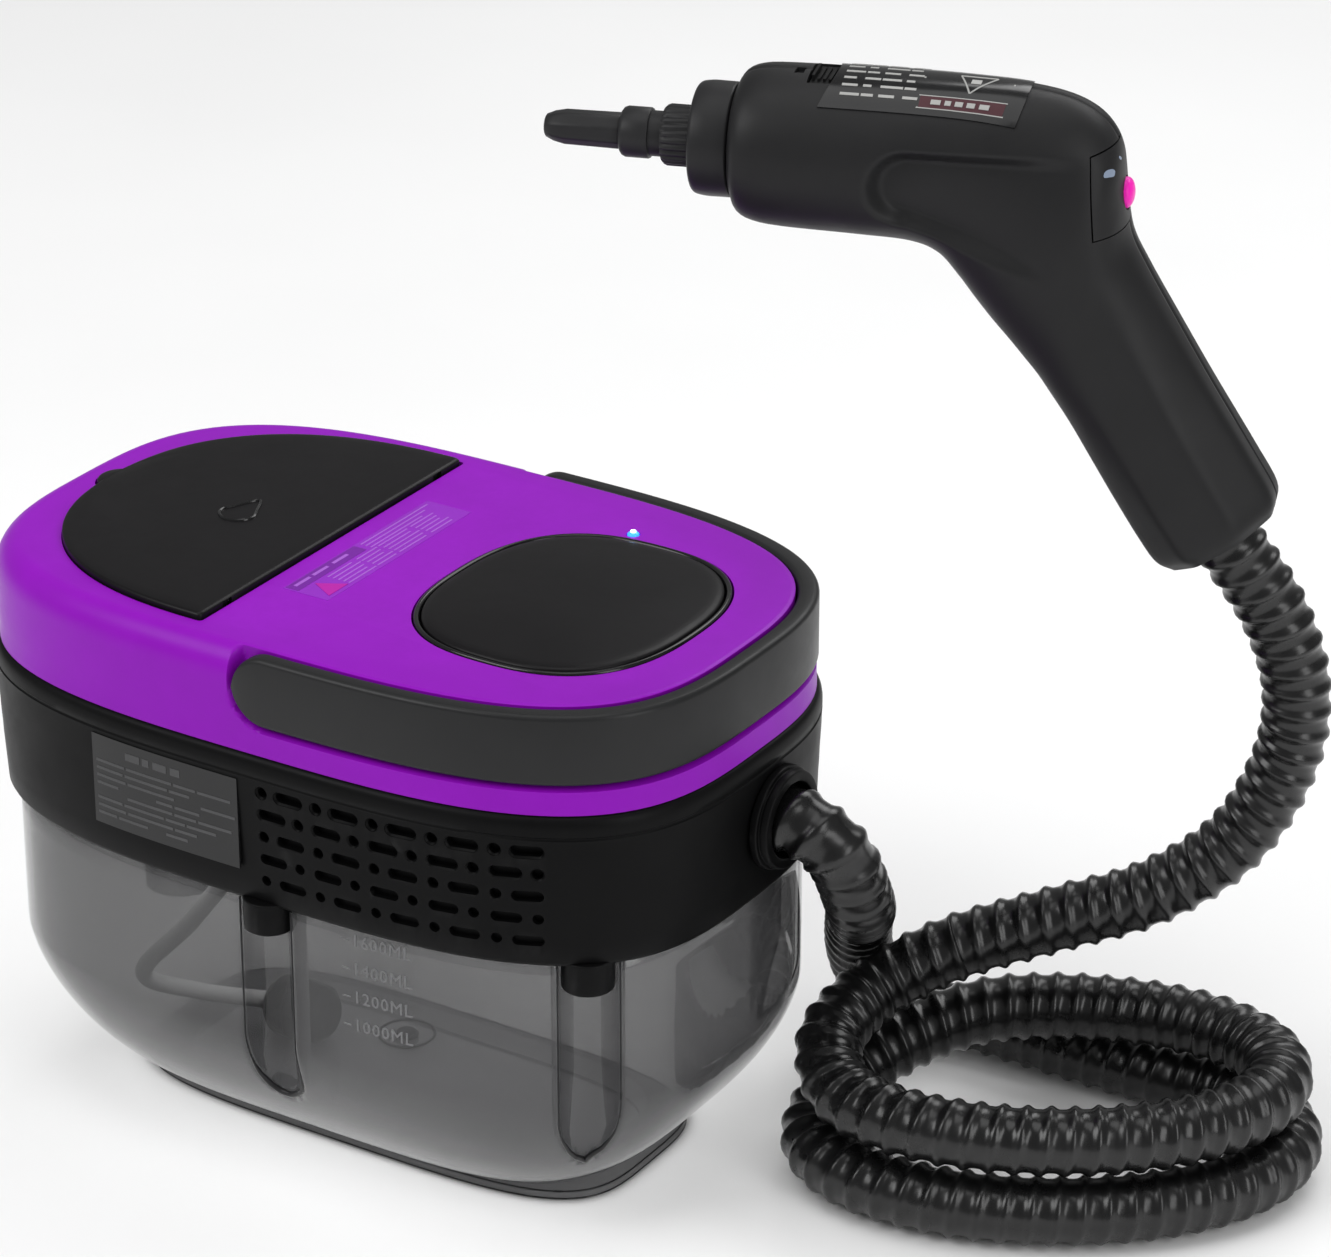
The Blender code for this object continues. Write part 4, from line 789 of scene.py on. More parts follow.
def build_band():
    profile = [
        (BAND_BOTTOM, 0.0034), (BAND_BOTTOM + 0.0001, 0.0024), (BAND_BOTTOM + 0.0006, 0.0018),
        (0.1026, 0.0013), (0.109, 0.001), (0.113, 0.0008), (0.117, 0.0006), (0.121, 0.0005),
        (0.125, 0.0003), (0.129, 0.0002), (0.133, 0.0), (0.137, -0.0002), (0.141, -0.0003),
        (0.1424, -0.0004), (0.1428, -0.0001), (0.1432, -0.0001), (0.1436, -0.0004),
        (0.1455, -0.0004), (0.147, -0.0002), (0.1482, 0.0002), (0.149, 0.0008),
        (BAND_TOP, 0.0016), (BAND_TOP, 0.0046), (0.11, 0.0046), (BAND_BOTTOM, 0.0042),
    ]
    band = piece("band_shell", skin(body_ovals(profile, 240), loop=True), BLACK, node="mid_band")
    vents = []
    for side in (-1.0, 1.0):
        for row in range(5):
            dash, dot = (0.0087, 0.018) if row % 2 else (0.015, 0.0056)
            z = VENT_TOP - VENT_STEP[1] * row
            for column in range(5):
                for arc, half_length in ((dash, 0.0047), (dot, 0.0)):
                    vents.append(vent(arc + VENT_STEP[0] * column, z, half_length, side))
    cut(band, join(vents))
    cut(band, turned(((0.0, 0.0132), (0.03, 0.0132)), OUTLET - FORWARD * 0.015, FORWARD, 48))
    cord_hole = (CORD_OUTLET[0], 0.062, CORD_OUTLET[1])
    cut(band, turned(((0.0, 0.0062), (0.03, 0.0062)), cord_hole, FAR, 24))
    profile = rounded(((0.0, 0.003), (0.0, 0.0078), (0.01, 0.0078), (0.01, 0.003)), 0.0006)
    profile = [(0.0, 0.002), *profile[1:-1], (0.01, 0.002)]
    posts = [turned(profile, (x, y, 0.092), UP, 32) for x, y, _ in FLUTES]
    piece("screw_posts", join(posts), BLACK)


def side_plate(arcs, heights, thickness):
    """A thin plate that follows the band's near side."""
    rows = []
    for z in heights:
        front = [side_point(arc, z, -thickness)[0] for arc in arcs]
        back = [side_point(arc, z, 0.0002)[0] for arc in arcs]
        rows.append(front + back[::-1])
    return skin(rows)


def build_rating_plate():
    """A gloss plate on the band; its print is reduced to plain bars."""
    plate = side_plate(np.linspace(-0.0572, -0.0028, 14), np.linspace(0.112, 0.1412, 3), 0.0006)
    piece("rating_plate", plate, GLOSS, sharp=50.0)
    bars = []
    for ends in ((-0.044, -0.0385), (-0.0375, -0.035), (-0.0335, -0.0285), (-0.027, -0.0235)):
        bars.append(side_plate(ends, (0.1358, 0.1382), 0.0007))
    for row, length in enumerate((0.05, 0.047, 0.0515, 0.038, 0.05, 0.044, 0.05, 0.033)):
        z = 0.1324 - 0.00245 * row
        start = -0.0556
        for step, share in enumerate((0.22, 0.34, 0.16, 0.24)):
            end = start + length * share
            if (row + step) % 5 != 4:
                bars.append(side_plate((start, (start + end) / 2.0, end), (z, z + 0.0009), 0.0007))
            start = end + 0.0008
    piece("rating_print", join(bars), MARK_GREY)


# --------------------------------------------------------------- top cover


def cover_columns():
    """Shares of the way round the outline, closer together where the handle recess starts."""
    total = body_table(0.0, 5760)[2][-1]
    near = total / 4.0
    far = total - near
    places = [centre + step for centre in (near, far) for step in np.linspace(-0.024, 0.02, 56)]
    for start, end in ((near + 0.024, far - 0.02), (far + 0.024, total + near - 0.02)):
        places.extend(np.linspace(start, end, 78)[1:-1] % total)
    return np.array(sorted(places)) / total


def recess_share(x, z):
    """0 outside the handle recess, 1 inside it."""
    right = PIVOT[0] - x
    below = PIVOT[1] - z
    outside = np.hypot(np.maximum(right, 0.0), np.maximum(below, 0.0))
    outside += np.minimum(np.maximum(right, below), 0.0)
    return smooth_share((HANDLE_HALF + RECESS_GAP - outside + RECESS_EDGE / 2.0) / RECESS_EDGE)


def inset_ring(shares, insets, z):
    """Outline points that each have their own inset, from a table of outlines by inset."""
    steps = np.linspace(0.0, 0.0088, 12)
    rings = []
    for step in steps:
        table = body_table(step, 1440)
        rings.append(points_at(shares * table[2][-1], *table))
    rings = np.array(rings)
    place = np.clip(insets / steps[1], 0.0, len(steps) - 1.001)
    low = place.astype(int)
    share = (place - low)[:, None]
    column = np.arange(len(shares))
    return level(rings[low, column] * (1.0 - share) + rings[low + 1, column] * share, z)


def upright(radius, x, y, sides):
    """A round cutter through the top cover."""
    return turned(((0.0, radius), (0.02, radius)), (x, y, 0.165), UP, sides)


def build_cover():
    shares = cover_columns()
    levels = [(0.1497, 0.0012), (0.152, 0.0012), (0.1545, 0.0013)]
    plain = (*np.arange(0.1558, 0.1635, 0.0006), 0.165, 0.1668, 0.1686, 0.1702)
    levels += [(z, 0.0013) for z in plain]
    for angle in np.radians(np.arange(0.0, 91.0, 7.5)):
        levels.append((0.1715 + 0.0095 * math.sin(angle), 0.0013 + 0.0072 * (1.0 - math.cos(angle))))
    x, _, length = body_table(0.0, 5760)
    base_x = np.interp(shares * length[-1], length, x)
    rows = []
    for z, inset in levels:
        depth = max(inset, RECESS_DEPTH) - inset
        rows.append(inset_ring(shares, inset + depth * recess_share(base_x, z), z))
    cover = piece("cover_shell", skin(rows), PURPLE, node="top_cover")
    cut(cover, skin(body_ovals(((0.148, 0.0105), (0.1735, 0.0105), (0.1762, 0.013)), 80)))
    cut(cover, skin([half_oval(0.0005, z) for z in (0.165, 0.19)]))
    cut(cover, upright(0.0081, LID_TAB_X, 0.0, 48))
    cut(cover, skin([pod_ring(-0.0004, z, 120) for z in (0.165, 0.19)]))
    cut(cover, turned(((0.0, 0.0021), (0.02, 0.0021)), (*POWER_LAMP, 0.17), UP, 24))


def half_oval(grow, z):
    """The lid's outline: straight along the hinge, round towards -X, with eased corners."""
    turn = np.linspace(math.pi / 2.0, math.pi * 1.5, 1441)
    x = LID_EDGE + grow - (LID_REACH + grow) * np.abs(np.cos(turn)) ** (2.0 / LID_POWER)
    y = (LID_HALF + grow) * signed_power(np.sin(turn), 2.0 / LID_POWER)
    length = running_length(x, y)
    corner = 0.0016
    arc = points_at(np.linspace(corner, length[-1] - corner, 120), x, y, length)
    near, far = np.array((x[-1], y[-1])), np.array((x[0], y[0]))
    eased = []
    corners = ((arc[-1], near, near + (0.0, corner)), (far - (0.0, corner), far, arc[0]))
    for start, tip, end in corners:
        for share in (0.25, 0.5, 0.75):
            first = start * (1.0 - share) + tip * share
            second = tip * (1.0 - share) + end * share
            eased.append(first * (1.0 - share) + second * share)
    straight = np.column_stack([np.full(30, x[0]), np.linspace(y[-1] + corner, y[0] - corner, 30)])
    return level(np.vstack([arc, eased[:3], straight, eased[3:]]), z)


def build_lid():
    rows = [half_oval(-0.0003, 0.1793), half_oval(-0.0003, 0.1817)]
    for step in range(1, 7):
        angle = math.pi / 2.0 * step / 6.0
        grow = -0.0003 - 0.0013 * (1.0 - math.cos(angle))
        rows.append(half_oval(grow, 0.1817 + 0.0012 * math.sin(angle)))
    for grow, z in ((-0.003, 0.18305), (-0.006, 0.1831), (-0.012, 0.1832), (-0.03, 0.1833)):
        rows.append(half_oval(grow, z))
    lid = piece("lid_plate", skin(rows), LID_BLACK, "lid", "water_lid")
    for y in (-LUG_OFFSET, LUG_OFFSET):
        low = (LID_AXIS[0] - 0.003, y - 0.0022, 0.17)
        cut(lid, block(low, (LID_EDGE + 0.003, y + 0.0022, 0.18235)))
    profile = ((0.0, 0.001), (0.0, 0.0074), (0.003, 0.0074), (0.0033, 0.004), (0.0031, 0.0005))
    tab = turned(rounded(profile, 0.0008, 4), (LID_TAB_X, 0.0, 0.1793), UP, 40)
    piece("lid_tab", tab, LID_BLACK, "lid")
    drop = []
    for turn in turns(40):
        tail = max(math.cos(turn), 0.0)
        x = -0.057 + 0.0058 * math.sin(turn) * (1.0 - 0.35 * tail)
        drop.append(Vector((x, -0.004 + 0.0058 * math.cos(turn) + 0.0048 * tail ** 3, 0.18325)))
    emblem = tube(drop, 0.0006, 8, closed=True)
    piece("lid_drop_emblem", emblem, GLOSS, "lid", slot="black_plastic")


def build_tray():
    """The fill basin under the lid, with its drain and the lid's hinge lugs."""
    profile = ((0.0018, 0.164), (0.0018, 0.1773), (0.0013, 0.1778), (-0.0001, 0.1778),
               (-0.0006, 0.1773), (-0.0006, 0.1676), (-0.0012, 0.1666), (-0.0024, 0.166))
    basin = skin([half_oval(*pair) for pair in profile])
    tray = piece("fill_basin", basin, BLACK, node="fill_tray")
    cut(tray, turned(((0.0, 0.012), (0.0113, 0.012), (0.02, 0.015)), (-0.085, -0.004, 0.155), UP, 40))
    x, z = LID_AXIS
    knuckle = ((0.0, 0.0007), (0.0002, 0.001), (0.0028, 0.001), (0.003, 0.0007))
    lugs = []
    for y in (-LUG_OFFSET, LUG_OFFSET):
        lugs.append(block((x - 0.0014, y - 0.0015, 0.1665), (x + 0.0004, y + 0.0015, 0.1808)))
        lugs.append(turned(knuckle, (x, y - 0.0015, z), FAR, 20))
    piece("lid_lugs", join(lugs), BLACK)


def handle_line(inset):
    """Half of one edge of the handle: from its pivot end round to the middle of the hose end."""
    x, y, length = body_table(inset, 5760)
    half_x, half_y = HALF_LENGTH - inset, HALF_WIDTH - inset
    line = []
    ends = PIVOT[0] - HANDLE_HALF * np.cos(np.radians(np.linspace(4.0, 86.0, 14)))
    for at in (*ends, *np.linspace(PIVOT[0], 0.03, 6)):
        line.append((at, -half_y * (1.0 - abs(at / half_x) ** BODY_POWER) ** (1.0 / BODY_POWER)))
    start = length[-1] * 0.75 + np.interp(0.033, x[4320:], length[4320:] - length[4320])
    at = start + (length[-1] - start) * np.linspace(0.0, 1.0, 46)
    near = np.vstack([line, points_at(at, x, y, length)])
    return np.vstack([near, near[-2::-1] * (1.0, -1.0)])


def build_handle():
    """The folding bail, swept round the hose end with rounded edges and ends."""
    halves = [*(HANDLE_HALF * np.sin(np.radians(np.linspace(4.0, 86.0, 14)))), *[HANDLE_HALF] * 52]
    rows = []
    edges = zip(handle_line(HANDLE_INSET), handle_line(HANDLE_INSET + HANDLE_THICK), halves + halves[-2::-1])
    for outer, inner, half in edges:
        corner = min(0.0016, half * 0.8)
        ring = []
        for inside, upward, start in ((0, 1.0, 0.0), (1, 1.0, 90.0), (1, -1.0, 180.0), (0, -1.0, 270.0)):
            for step in range(5):
                angle = math.radians(start + 22.5 * step)
                across = (HANDLE_THICK - corner if inside else corner) - corner * math.cos(angle)
                up = (half - corner) * upward + corner * math.sin(angle)
                ring.append((*(outer + (inner - outer) * (across / HANDLE_THICK)), PIVOT[1] + up))
        rows.append(ring)
    piece("handle_bail", skin(rows), CHARCOAL, "handle", "carry_handle", sharp=50.0)


def pod_ring(inset, z, count=140):
    return oval(POD[1] - inset, POD[2] - inset, POD[3], z, count, POD[0])


def build_pod():
    """The power pod: its ring, its push top and its lamp."""
    profile = ((0.0001, 0.1758), (0.0001, 0.1808), (0.0003, 0.1814), (0.0009, 0.1817),
               (0.0015, 0.1814), (0.0018, 0.1809), (0.0018, 0.1758))
    ring = skin([pod_ring(*pair) for pair in profile], loop=True)
    piece("pod_ring", ring, GLOSS, node="pod_bezel", sharp=60.0)
    profile = [(0.0023, 0.1766), (0.0023, 0.181), (0.0025, 0.1815), (0.0031, 0.1818)]
    for inset in (0.0045, 0.0065, 0.009, 0.013, 0.018, 0.024, 0.03, 0.035, 0.039):
        profile.append((inset, 0.1818 + 0.0016 * math.sin(math.pi / 2.0 * inset / 0.04)))
    top = skin([pod_ring(*pair) for pair in profile])
    piece("power_touch", top, LID_BLACK, "button", "power_button", sharp=60.0)
    profile = ((0.0, 0.001), (0.0, 0.0018), (0.0042, 0.0018), (0.0046, 0.0014),
               (0.0048, 0.0008), (0.0049, 0.0002))
    lens = turned(profile, (*POWER_LAMP, 0.177), UP, 24)
    piece("power_lamp", lens, BLUE_LAMP, node="led_lens", sharp=60.0)
    core = turned(((0.0, 0.0009), (0.0005, 0.0009), (0.0007, 0.0004)), (*POWER_LAMP, 0.1817), UP, 16)
    piece("power_lamp_core", core, WHITE_LAMP, sharp=60.0)


def build_top_label():
    """A pale printed panel beside the lid; words are reduced to plain bars."""
    sunk = TOP - 0.0002

    def bar(x0, x1, y0, y1, thickness=0.00012):
        return block((x0, y0, sunk), (x1, y1, TOP + thickness))

    piece("label_panel", bar(-0.0168, -0.0006, -0.0368, 0.0378, 0.00006), MARK_PANEL)
    piece("label_header", bar(-0.0164, -0.0117, -0.036, -0.0015), MARK_PLUM)
    lines = []
    for row in (0, 2, 4):
        x = -0.0155 + 0.0009 * row
        lines.append(bar(x, x + 0.0006, 0.0005, 0.0355 - 0.002 * row))
    for row in range(5):
        x = -0.0104 + 0.0019 * row
        start = -0.0235
        for length, phase in ((0.014, 2), (0.0105, 0), (0.016, 1), (0.012, 0)):
            lines.append(bar(x, x + 0.0006, start, start + length - 0.001 * ((row + phase) % 3)))
            start += length + 0.0007
    for y in (-0.034, -0.025, -0.015):
        lines.append(bar(-0.015, -0.0138, y, y + 0.0075, 0.0002))
    piece("label_lines", join(lines), MARK_LILAC)
    corners = ((-0.0106, -0.0292), (-0.0022, -0.034), (-0.0022, -0.0244))
    triangle = skin([[(x, y, z) for x, y in corners] for z in (sunk, TOP + 0.00018)])
    piece("label_triangle", triangle, MARK_MAGENTA)


# -------------------------------------------------------------------- hose


def coil_point(degrees):
    """A point of the two-turn coil, whose second turn is smaller and lies on the first."""
    second = float(smooth_share((-175.0 - degrees) / 90.0))
    angle = math.radians(degrees)
    z = 0.0108 + 0.0222 * second + 0.0095 * float(smooth_share((-515.0 - degrees) / 45.0))
    offset = VIEW_RIGHT * ((0.0718 - 0.004 * second) * math.cos(angle))
    offset += VIEW_AWAY * ((0.0428 - 0.0025 * second) * math.sin(angle))
    return COIL_CENTRE + offset + Vector((0.0, 0.0, z))


def hose_way():
    """Where the hose runs; the tables give the way right, away and up as the camera sees it."""
    down = ((0.1345, -0.0585, 0.099), (0.1366, -0.04, 0.084), (0.1374, -0.014, 0.069),
            (0.1386, 0.01, 0.0435), (0.145, 0.022, 0.024), (0.16, 0.025, 0.0135), (0.18, 0.019, 0.0112))
    rise = ((0.165, -0.019, 0.0585), (0.195, -0.02, 0.069), (0.225, -0.0215, 0.0795),
            (0.249, -0.0225, 0.0975), (0.2625, -0.024, 0.1245), (0.2645, -0.026, 0.151),
            (0.256, -0.028, 0.177))

    def seen(places):
        return [VIEW_RIGHT * right + VIEW_AWAY * away + Vector((0.0, 0.0, z)) for right, away, z in places]

    out = ((-0.003, 0.0, 0.0), (0.008, 0.0, 0.0), (0.0195, 0.0035, -0.0085))
    way = [OUTLET + Vector(step) for step in out]
    way += seen(down) + [coil_point(degrees) for degrees in range(60, -556, -15)]
    way += [HOSE_PIVOT, *seen(rise)]
    return way + [gun_to_world(GRIP_END), gun_to_world(GRIP_END + GRIP_AXIS * 0.012)]


def build_hose():
    """One ribbed conduit, parted into a coil, a length at the joint and a rising length."""
    path = smooth_path(hose_way(), RIB_PITCH / RIB_POINTS)
    padded = [path[0]] * HOSE_EASING + path + [path[-1]] * HOSE_EASING
    width = 2 * HOSE_EASING + 1
    for index in range(HOSE_EASING, len(path) - HOSE_EASING):
        path[index] = sum(padded[index : index + width], Vector()) / width
    rows = []
    for index, point, normal, other in frames(path, normal=UP):
        reaches = []
        for step in range(HOSE_SIDES):
            phase = (index / RIB_POINTS + step / HOSE_SIDES) % 1.0
            swell = 0.5 - 0.5 * math.cos(2.0 * math.pi * phase)
            reaches.append(HOSE_ROOT + (HOSE_CREST - HOSE_ROOT) * swell ** 2.2)
        rows.append(circle(point, normal, other, reaches))
    pivot = min(range(len(path)), key=lambda place: (path[place] - HOSE_PIVOT).length)
    start = pivot - 4 * RIB_POINTS
    end = pivot + 4 * RIB_POINTS
    piece("hose_coil", skin(rows[: start + 1]), HOSE, node="hose_lower", sharp=180.0)
    bend = piece("hose_bend", skin(rows[start : end + 1]), HOSE, None, "hose_upper", sharp=180.0)
    tuple(path[start])
    tuple(path[end])
    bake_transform(bend)
    piece("hose_rise", skin(rows[end:]), HOSE, "hose_end", sharp=180.0)


def build_outlets():
    """The hose collar, and the mains lead with its strain relief and plug."""
    profile = ((0.0, 0.0128), (0.0068, 0.0128), (0.0068, 0.0158), (0.0092, 0.0158), (0.0092, 0.0146),
               (0.0102, 0.0146), (0.0102, 0.0152), (0.0122, 0.0148), (0.0122, 0.0116), (0.0, 0.0116))
    collar = turned(rounded(profile), OUTLET - FORWARD * 0.0062, FORWARD, 56, loop=True)
    piece("outlet_collar", collar, BLACK, node="hose_collar")
    x, z = CORD_OUTLET
    profile = [(0.0, 0.004), (0.0, 0.0058), (0.0072, 0.0058), (0.0075, 0.0085), (0.01, 0.0085)]
    for rib in range(5):
        along = 0.0108 + 0.0026 * rib
        radius = 0.0074 - 0.0004 * rib
        profile += [(along, radius - 0.0009), (along + 0.0006, radius)]
        profile += [(along + 0.0014, radius), (along + 0.0018, radius - 0.0009)]
    profile += [(0.024, 0.005), (0.024, 0.0036)]
    relief = turned(rounded(profile, 0.0003, 2), (x, 0.0715, z), FAR, 32, loop=True)
    piece("cord_relief", relief, RUBBER, node="cord_grommet")
    cord = [(x, 0.068, z), (x, 0.084, z), (x, 0.1, z), (-0.063, 0.12, 0.1), (-0.066, 0.133, 0.05),
            (-0.07, 0.144, 0.015)]
    for index in range(1, 19):
        turn = math.radians(-10.0 + 35.0 * index)
        lift = 0.004 + 0.0074 * min(max((index - 7) / 4.0, 0.0), 1.0)
        cord.append((-0.075 + 0.042 * math.sin(turn), 0.182 - 0.03 * math.cos(turn), lift))
    end_x, end_y, _ = Vector(cord[-1])
    cord += [(end_x - 0.006, end_y - 0.026, 0.0086), (end_x - 0.008, end_y - 0.048, 0.0084)]
    path = smooth_path([Vector(point) for point in cord], 0.0022)
    piece("mains_cord", tube(path, 0.0033, 14), RUBBER, node="power_cord", sharp=180.0)
    direction = path[-1] - path[-4]
    direction = Vector((direction.x, direction.y, 0.0)).normalized()
    profile = [(-0.004, 0.003), (-0.004, 0.0042), (-0.001, 0.0045)]
    for rib in range(4):
        along = 0.0004 + 0.0026 * rib
        radius = 0.0057 + 0.0003 * rib
        profile += [(along, 0.0048 + 0.0003 * rib), (along + 0.0005, radius), (along + 0.0015, radius)]
    profile += [(0.012, 0.0062), (0.015, 0.0075), (0.02, 0.0078), (0.0312, 0.0078),
                (0.0324, 0.007), (0.0324, 0.001)]
    base = path[-1] + direction * 0.0012
    piece("mains_plug", turned(rounded(profile, 0.0004, 2), base, direction, 32), RUBBER, node="power_plug")
    side = Vector((-direction.y, direction.x, 0.0))
    profile = ((0.0, 0.0016), (0.018, 0.0016), (0.019, 0.001))
    foot = base + direction * 0.03
    pins = [turned(profile, foot + side * offset, direction, 16) for offset in (-0.004, 0.004)]
    piece("plug_pins", join(pins), BRASS)


# --------------------------------------------------------------------- gun


def gun_station(values):
    """Station rows between the given ones, on a smooth curve."""
    last = len(GUN_STATIONS) - 1
    values = np.clip(np.asarray(values, float), 0.0, float(last))
    low = np.minimum(values.astype(int), last - 1)
    t = (values - low)[:, None]
    ends = 2.0 * GUN_STATIONS[[0, -1]] - GUN_STATIONS[[1, -2]]
    padded = np.vstack([ends[0], GUN_STATIONS, ends[1]])
    return catmull_rom(*(padded[low + step] for step in range(4)), t)


def octagon_reach(cosine_of, power):
    """How far a soft-cornered octagon reaches; cosine_of is the cosine from a side's middle."""
    sides = [np.maximum(cosine_of(math.pi / 4.0 * index), 0.0) ** power for index in range(8)]
    return sum(sides) ** (-1.0 / power)


def gun_surface(values, degrees, inset=0.0):
    """Skin points (station by angle): angle 0 is the top line, 90 the near side, 180 the underside."""
    x_top, z_top, x_low, z_low, half_y = (column[:, None] for column in gun_station(values).T)
    values = np.asarray(values, float)[:, None]
    angle = np.radians(np.asarray(degrees, float))[None, :]
    power = 2.1 + 0.25 * np.clip((values - 8.0) / 8.0, 0.0, 1.0)
    across = signed_power(np.sin(angle), 2.0 / power)
    along = signed_power(np.cos(angle), 2.0 / power)
    reach = octagon_reach(lambda middle: np.cos(angle - middle), 26.0)
    octagon = smooth_share((values - 12.5) / 5.0)
    across = across * (1.0 - octagon) + np.sin(angle) * reach * octagon
    along = along * (1.0 - octagon) + np.cos(angle) * reach * octagon
    half_x = (x_top - x_low) / 2.0
    half_z = (z_top - z_low) / 2.0
    size = np.hypot(half_x, half_z)
    shrink = (size - inset) / size
    x = (x_top + x_low) / 2.0 + half_x * shrink * along
    z = (z_top + z_low) / 2.0 + half_z * shrink * along
    y = (half_y - inset) * across
    end, middle, half = HOLLOW
    ahead = np.hypot(x - end, z - middle) - half
    behind = np.maximum(z - middle - half, middle - half - 0.35 * (end - x) - z)
    outside = np.where(x > end, ahead, behind)
    fade = 1.0 - smooth_share((values - 6.2) / 4.8)
    y = y * (1.0 - HOLLOW_PRESS * smooth_share((0.002 - outside) / 0.0054) * fade)
    return np.stack([x, y, z], axis=2)


def panel_prism(grow):
    """The outline of the control panel seen from the side, through the whole gun."""
    side = ((0.0084 + grow, 0.0144 + grow), (0.0062 + grow, -0.0091 - grow),
            (-0.025, -0.0048 - grow), (-0.025, 0.024 + grow))
    return skin([[(x, y, z) for x, z in side] for y in (-0.03, 0.03)])


def build_gun_shells():
    last = len(GUN_STATIONS) - 1
    stations = np.concatenate([np.linspace(0.0, 3.0, 10)[:-1], np.linspace(3.0, 8.0, 84)[:-1],
                               np.linspace(8.0, last, 56)])
    degrees = np.concatenate([[0.0, 2.2], np.linspace(5.0, 175.0, 104), [177.8, 180.0]])
    for name, sign in (("left", -1.0), ("right", 1.0)):
        outer = gun_surface(stations, degrees)
        outer[:, [0, -1]] = gun_surface(stations, [0.0, 180.0], 0.0006)
        inner = gun_surface(stations, np.linspace(180.0, 0.0, 9), 0.0026)
        ring = np.concatenate([outer, inner], axis=1)
        ring[:, :, 1] = sign * (np.maximum(ring[:, :, 1], 0.0) + 0.00012)
        shell = piece("gun_half_" + name, skin(ring), GUN_GREY, "gun", "gun_shell_" + name)
        latch_well = block((0.0793, -0.0086, 0.0262), (0.0905, 0.0086, 0.034))
        latch_mark = block((0.0922, -0.0008, 0.0284), (0.095, 0.004, 0.034))
        for cutter in (panel_prism(0.0002), latch_well, latch_mark):
            cut(shell, cutter, gun=True)


def gun_patch(stations, degrees, outer, inner):
    """A curved slab that follows the gun's skin; outer and inner are distances above it."""
    top = gun_surface(stations, degrees, -outer)
    low = gun_surface(stations, degrees, -inner)
    return skin(np.concatenate([top, low[:, ::-1]], axis=1))


def gun_spot(centre, wide, tall):
    """A rounded spot on the gun's skin; centre, wide and tall are (station, angle) pairs."""
    rows = []
    for size, height in ((1.0, -0.0012), (1.0, 0.00012), (0.7, 0.00012), (0.4, 0.00012), (0.1, 0.00012)):
        ring = []
        for turn in turns(24):
            across = size * signed_power(math.sin(turn), 0.7)
            along = size * signed_power(math.cos(turn), 0.7)
            station, degrees = (c + w * across + t * along for c, w, t in zip(centre, wide, tall))
            ring.append(gun_surface([station], [degrees], -height)[0, 0])
        rows.append(ring)
    return skin(rows)


def build_gun_controls():
    """The panel at the back of the gun, its button and lamps, and the nozzle latch."""
    slab = gun_patch(np.linspace(9.0, 14.2, 40), np.linspace(-75.0, 75.0, 41), 0.0, -0.0024)
    panel = piece("gun_panel", slab, GUN_GREY, "gun", "control_panel")
    cut(panel, panel_prism(-0.0002), "INTERSECT", gun=True)
    cut(panel, turned(((0.0, 0.005), (0.04, 0.005)), (-0.02, 0.0, 0.0), FORWARD, 40), gun=True)
    profile = [(0.0049, 0.0035), (0.0034, 0.0035), (0.0034, 0.0045)]
    for step in range(8):
        angle = math.pi / 2.0 * step / 8.0
        profile.append((-0.0006 - 0.0023 * math.sin(angle), 0.0045 * math.cos(angle)))
    button = turned(profile, (0.0, 0.0, 0.0), FORWARD, 36)
    piece("trigger_button", button, PINK, "gun_button", "steam_button", sharp=70.0)
    lamps = []
    spots = ((10.91, 31.9, 1.0, 1.0), (11.05, 12.0, 0.35, 1.0), (10.91, 31.9, 1.0, -1.0))
    for station, degrees, size, side in spots:
        wide, tall = (0.23 * size, -6.2 * size * side), (0.06 * size, 1.8 * size * side)
        lamps.append(gun_spot((station, degrees * side), wide, tall))
    piece("panel_lamps", join(lamps), MARK_BLUE, "gun", "heat_lamp_lens")
    slide = [block((0.0836, -0.0078, 0.0262), (0.09, 0.0078, 0.0279))]
    for index, height in enumerate((0.0287, 0.0287, 0.0287, 0.0297)):
        x = 0.084 + 0.0016 * index
        slide.append(block((x, -0.0052, 0.0278), (x + 0.0008, 0.0052, height)))
    piece("latch_slide", join(slide), BLACK, "latch", "release_latch")


def station_at(x):
    """The station whose top line is at this distance forward."""
    return float(np.interp(-x, -GUN_STATIONS[:12, 0], np.arange(12.0)))


def sign_edge(first, second):
    """One raised line of the blank sign, between two (forward, angle) corners."""
    path = []
    for share in np.linspace(0.0, 1.0, 7):
        x, angle = (start + (end - start) * share for start, end in zip(first, second))
        path.append(Vector(gun_surface([station_at(x)], [angle], -0.0005)[0, 0]))
    return tube(path, 0.0003, 6)


